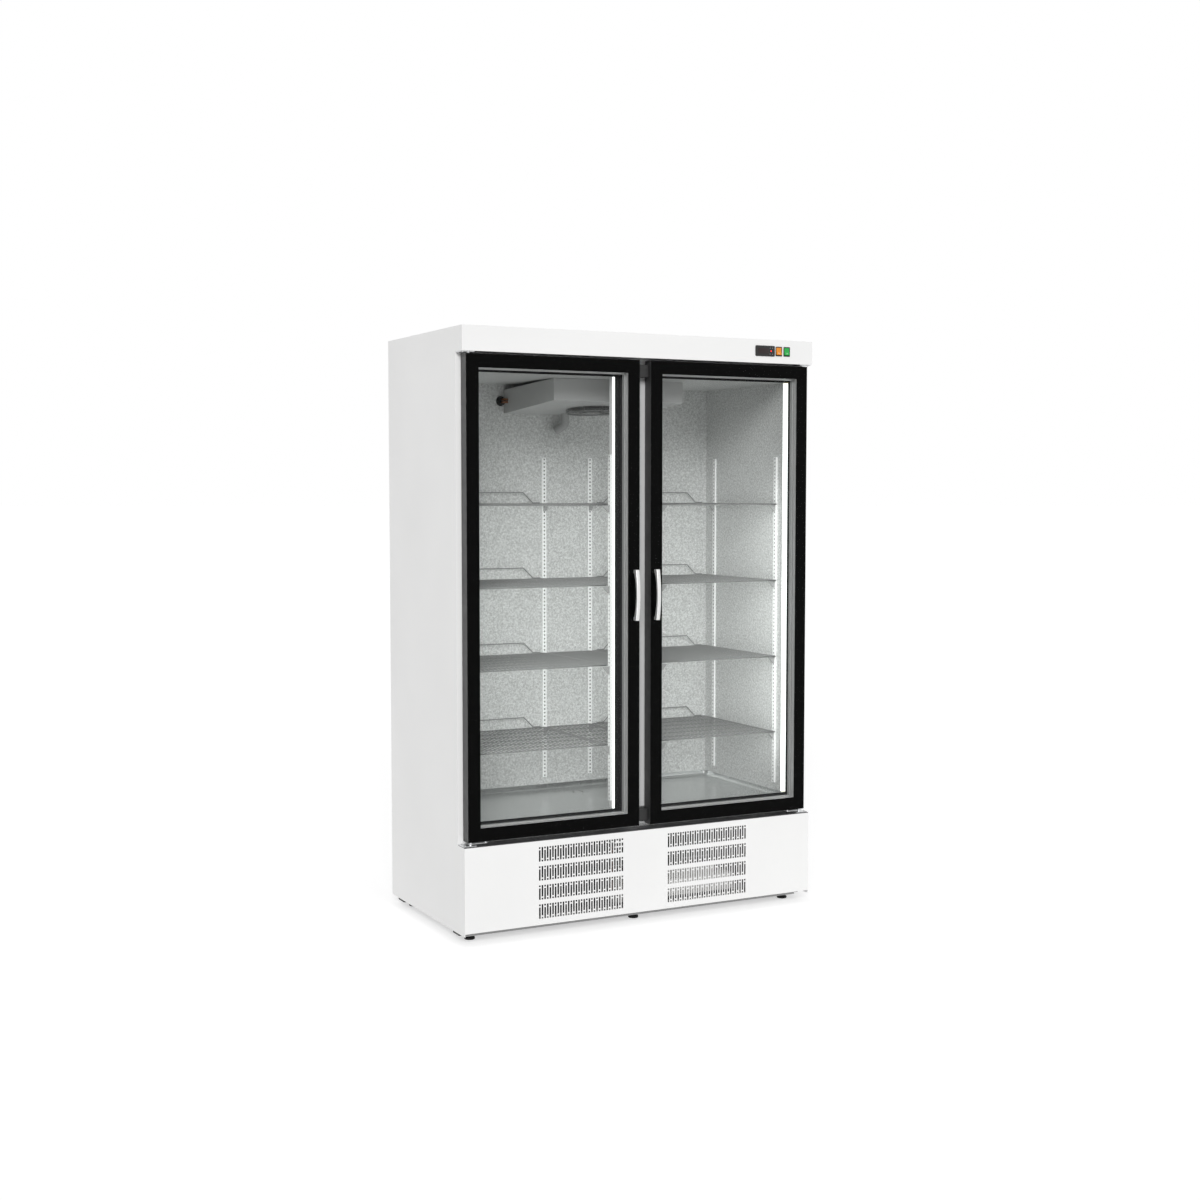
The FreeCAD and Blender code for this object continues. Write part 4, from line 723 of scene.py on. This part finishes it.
def seen_directly(tree):
    """1 for rays from the camera, mirrors and clear glass, 0 for those that carry light."""
    path = tree.nodes.new("ShaderNodeLightPath")
    total = path.outputs["Is Camera Ray"]
    for kind in ("Is Glossy Ray", "Is Transmission Ray"):
        either = tree.nodes.new("ShaderNodeMath")
        either.operation = "MAXIMUM"
        tree.links.new(total, either.inputs[0])
        tree.links.new(path.outputs[kind], either.inputs[1])
        total = either.outputs["Value"]
    return total


def graded(tree, source, low, high):
    """A value that goes from low to high as its source goes from 0 to 1."""
    made = tree.nodes.new("ShaderNodeMapRange")
    made.inputs["To Min"].default_value = low
    made.inputs["To Max"].default_value = high
    tree.links.new(source, made.inputs["Value"])
    return made.outputs["Result"]


def stage_floor():
    """A wide pale floor that looks white where nothing shades it."""
    made = Finish("studio_floor", (FLOOR_TONE,) * 3, 0.6)
    made.shader.inputs["Specular IOR Level"].default_value = 0.0
    made.shader.inputs["Emission Color"].default_value = (1, 1, 1, 1)
    glow = graded(made.tree, seen_directly(made.tree), 0.0, FLOOR_GLOW)
    made.put(made.shader.inputs["Emission Strength"], glow)
    mesh = bmesh.new()
    bmesh.ops.create_grid(mesh, x_segments=1, y_segments=1, size=FLOOR_SIZE / 2)
    data = bpy.data.meshes.new("studio_floor")
    mesh.to_mesh(data)
    mesh.free()
    data.materials.append(made.material)
    floor = bpy.data.objects.new("studio_floor", data)
    bpy.context.scene.collection.objects.link(floor)


def world_light():
    """Even pale light; what the camera, mirrors and glass see of it is white."""
    world = bpy.data.worlds.new("studio")
    bpy.context.scene.world = world
    world.use_nodes = True
    tree = world.node_tree
    backdrop = tree.nodes["Background"]
    backdrop.inputs["Color"].default_value = (1, 1, 1, 1)
    level = graded(tree, seen_directly(tree), WORLD_LEVEL, 1.0)
    tree.links.new(level, backdrop.inputs["Strength"])


def sun_lamp():
    """A broad soft sun from the front left."""
    data = bpy.data.lights.new("sun_lamp", "SUN")
    data.energy = SUN_LEVEL * math.pi
    data.angle = SUN_SPREAD
    lamp = bpy.data.objects.new("sun_lamp", data)
    lamp.rotation_euler = Vector(SUN_FROM).to_track_quat("Z", "Y").to_euler()
    bpy.context.scene.collection.objects.link(lamp)


def room_lamps():
    """What the light strips throw into the room, spread over the height of each door."""
    low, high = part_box("led_strips")
    for side in (-1, 1):
        data = bpy.data.lights.new("room_lamp", "AREA")
        data.shape = "RECTANGLE"
        data.size, data.size_y = ROOM_LAMP_WIDE, ROOM_LAMP_TALL
        data.energy = ROOM_POWER
        data.color = (0.985, 1.0, 0.99)
        lamp = bpy.data.objects.new("room_lamp", data)
        lamp.location = (side * (high.x + CENTRE_HALF) / 2, low.y + 4 * MM,
                         (low.z + high.z) / 2 - ROOM_LAMP_DROP)
        lamp.rotation_euler = Vector((0, 1, 0)).to_track_quat("-Z", "Y").to_euler()
        lamp.visible_camera = False
        lamp.visible_glossy = False
        bpy.context.scene.collection.objects.link(lamp)


def place_camera():
    """The camera that the whole view is set up for."""
    data = bpy.data.cameras.new("camera")
    data.lens = CAMERA_LENS
    data.sensor_width = SENSOR_WIDTH
    data.clip_end = 200
    camera = bpy.data.objects.new("camera", data)
    camera.location = CAMERA_PLACE
    camera.rotation_euler = (math.pi / 2 - CAMERA_DIP, 0, -CAMERA_TURN)
    bpy.context.scene.collection.objects.link(camera)
    bpy.context.scene.camera = camera


def main():
    bpy.context.scene.view_settings.view_transform = "Standard"
    place_camera()
    world_light()
    sun_lamp()
    room_lamps()
    stage_floor()
    finishes = build_materials()
    paint_nodes(finishes)
    wire_shelves("left", True, finishes)
    wire_shelves("centre", False, finishes)
    wire_shelves("right", True, finishes)
    standard_slots(finishes)
    pipe_grommet(finishes)
    for door, side in (("door_left", -1), ("door_right", 1)):
        black_border(door, finishes)
        closer_arm(door, side, finishes)
    controller_face(finishes)
    rocker_marks("light_rocker", finishes)
    rocker_marks("power_rocker", finishes)
    hinge_screws(finishes)
    back_screws(finishes)
    levelling_feet("front", finishes)
    levelling_feet("rear", finishes)


main()
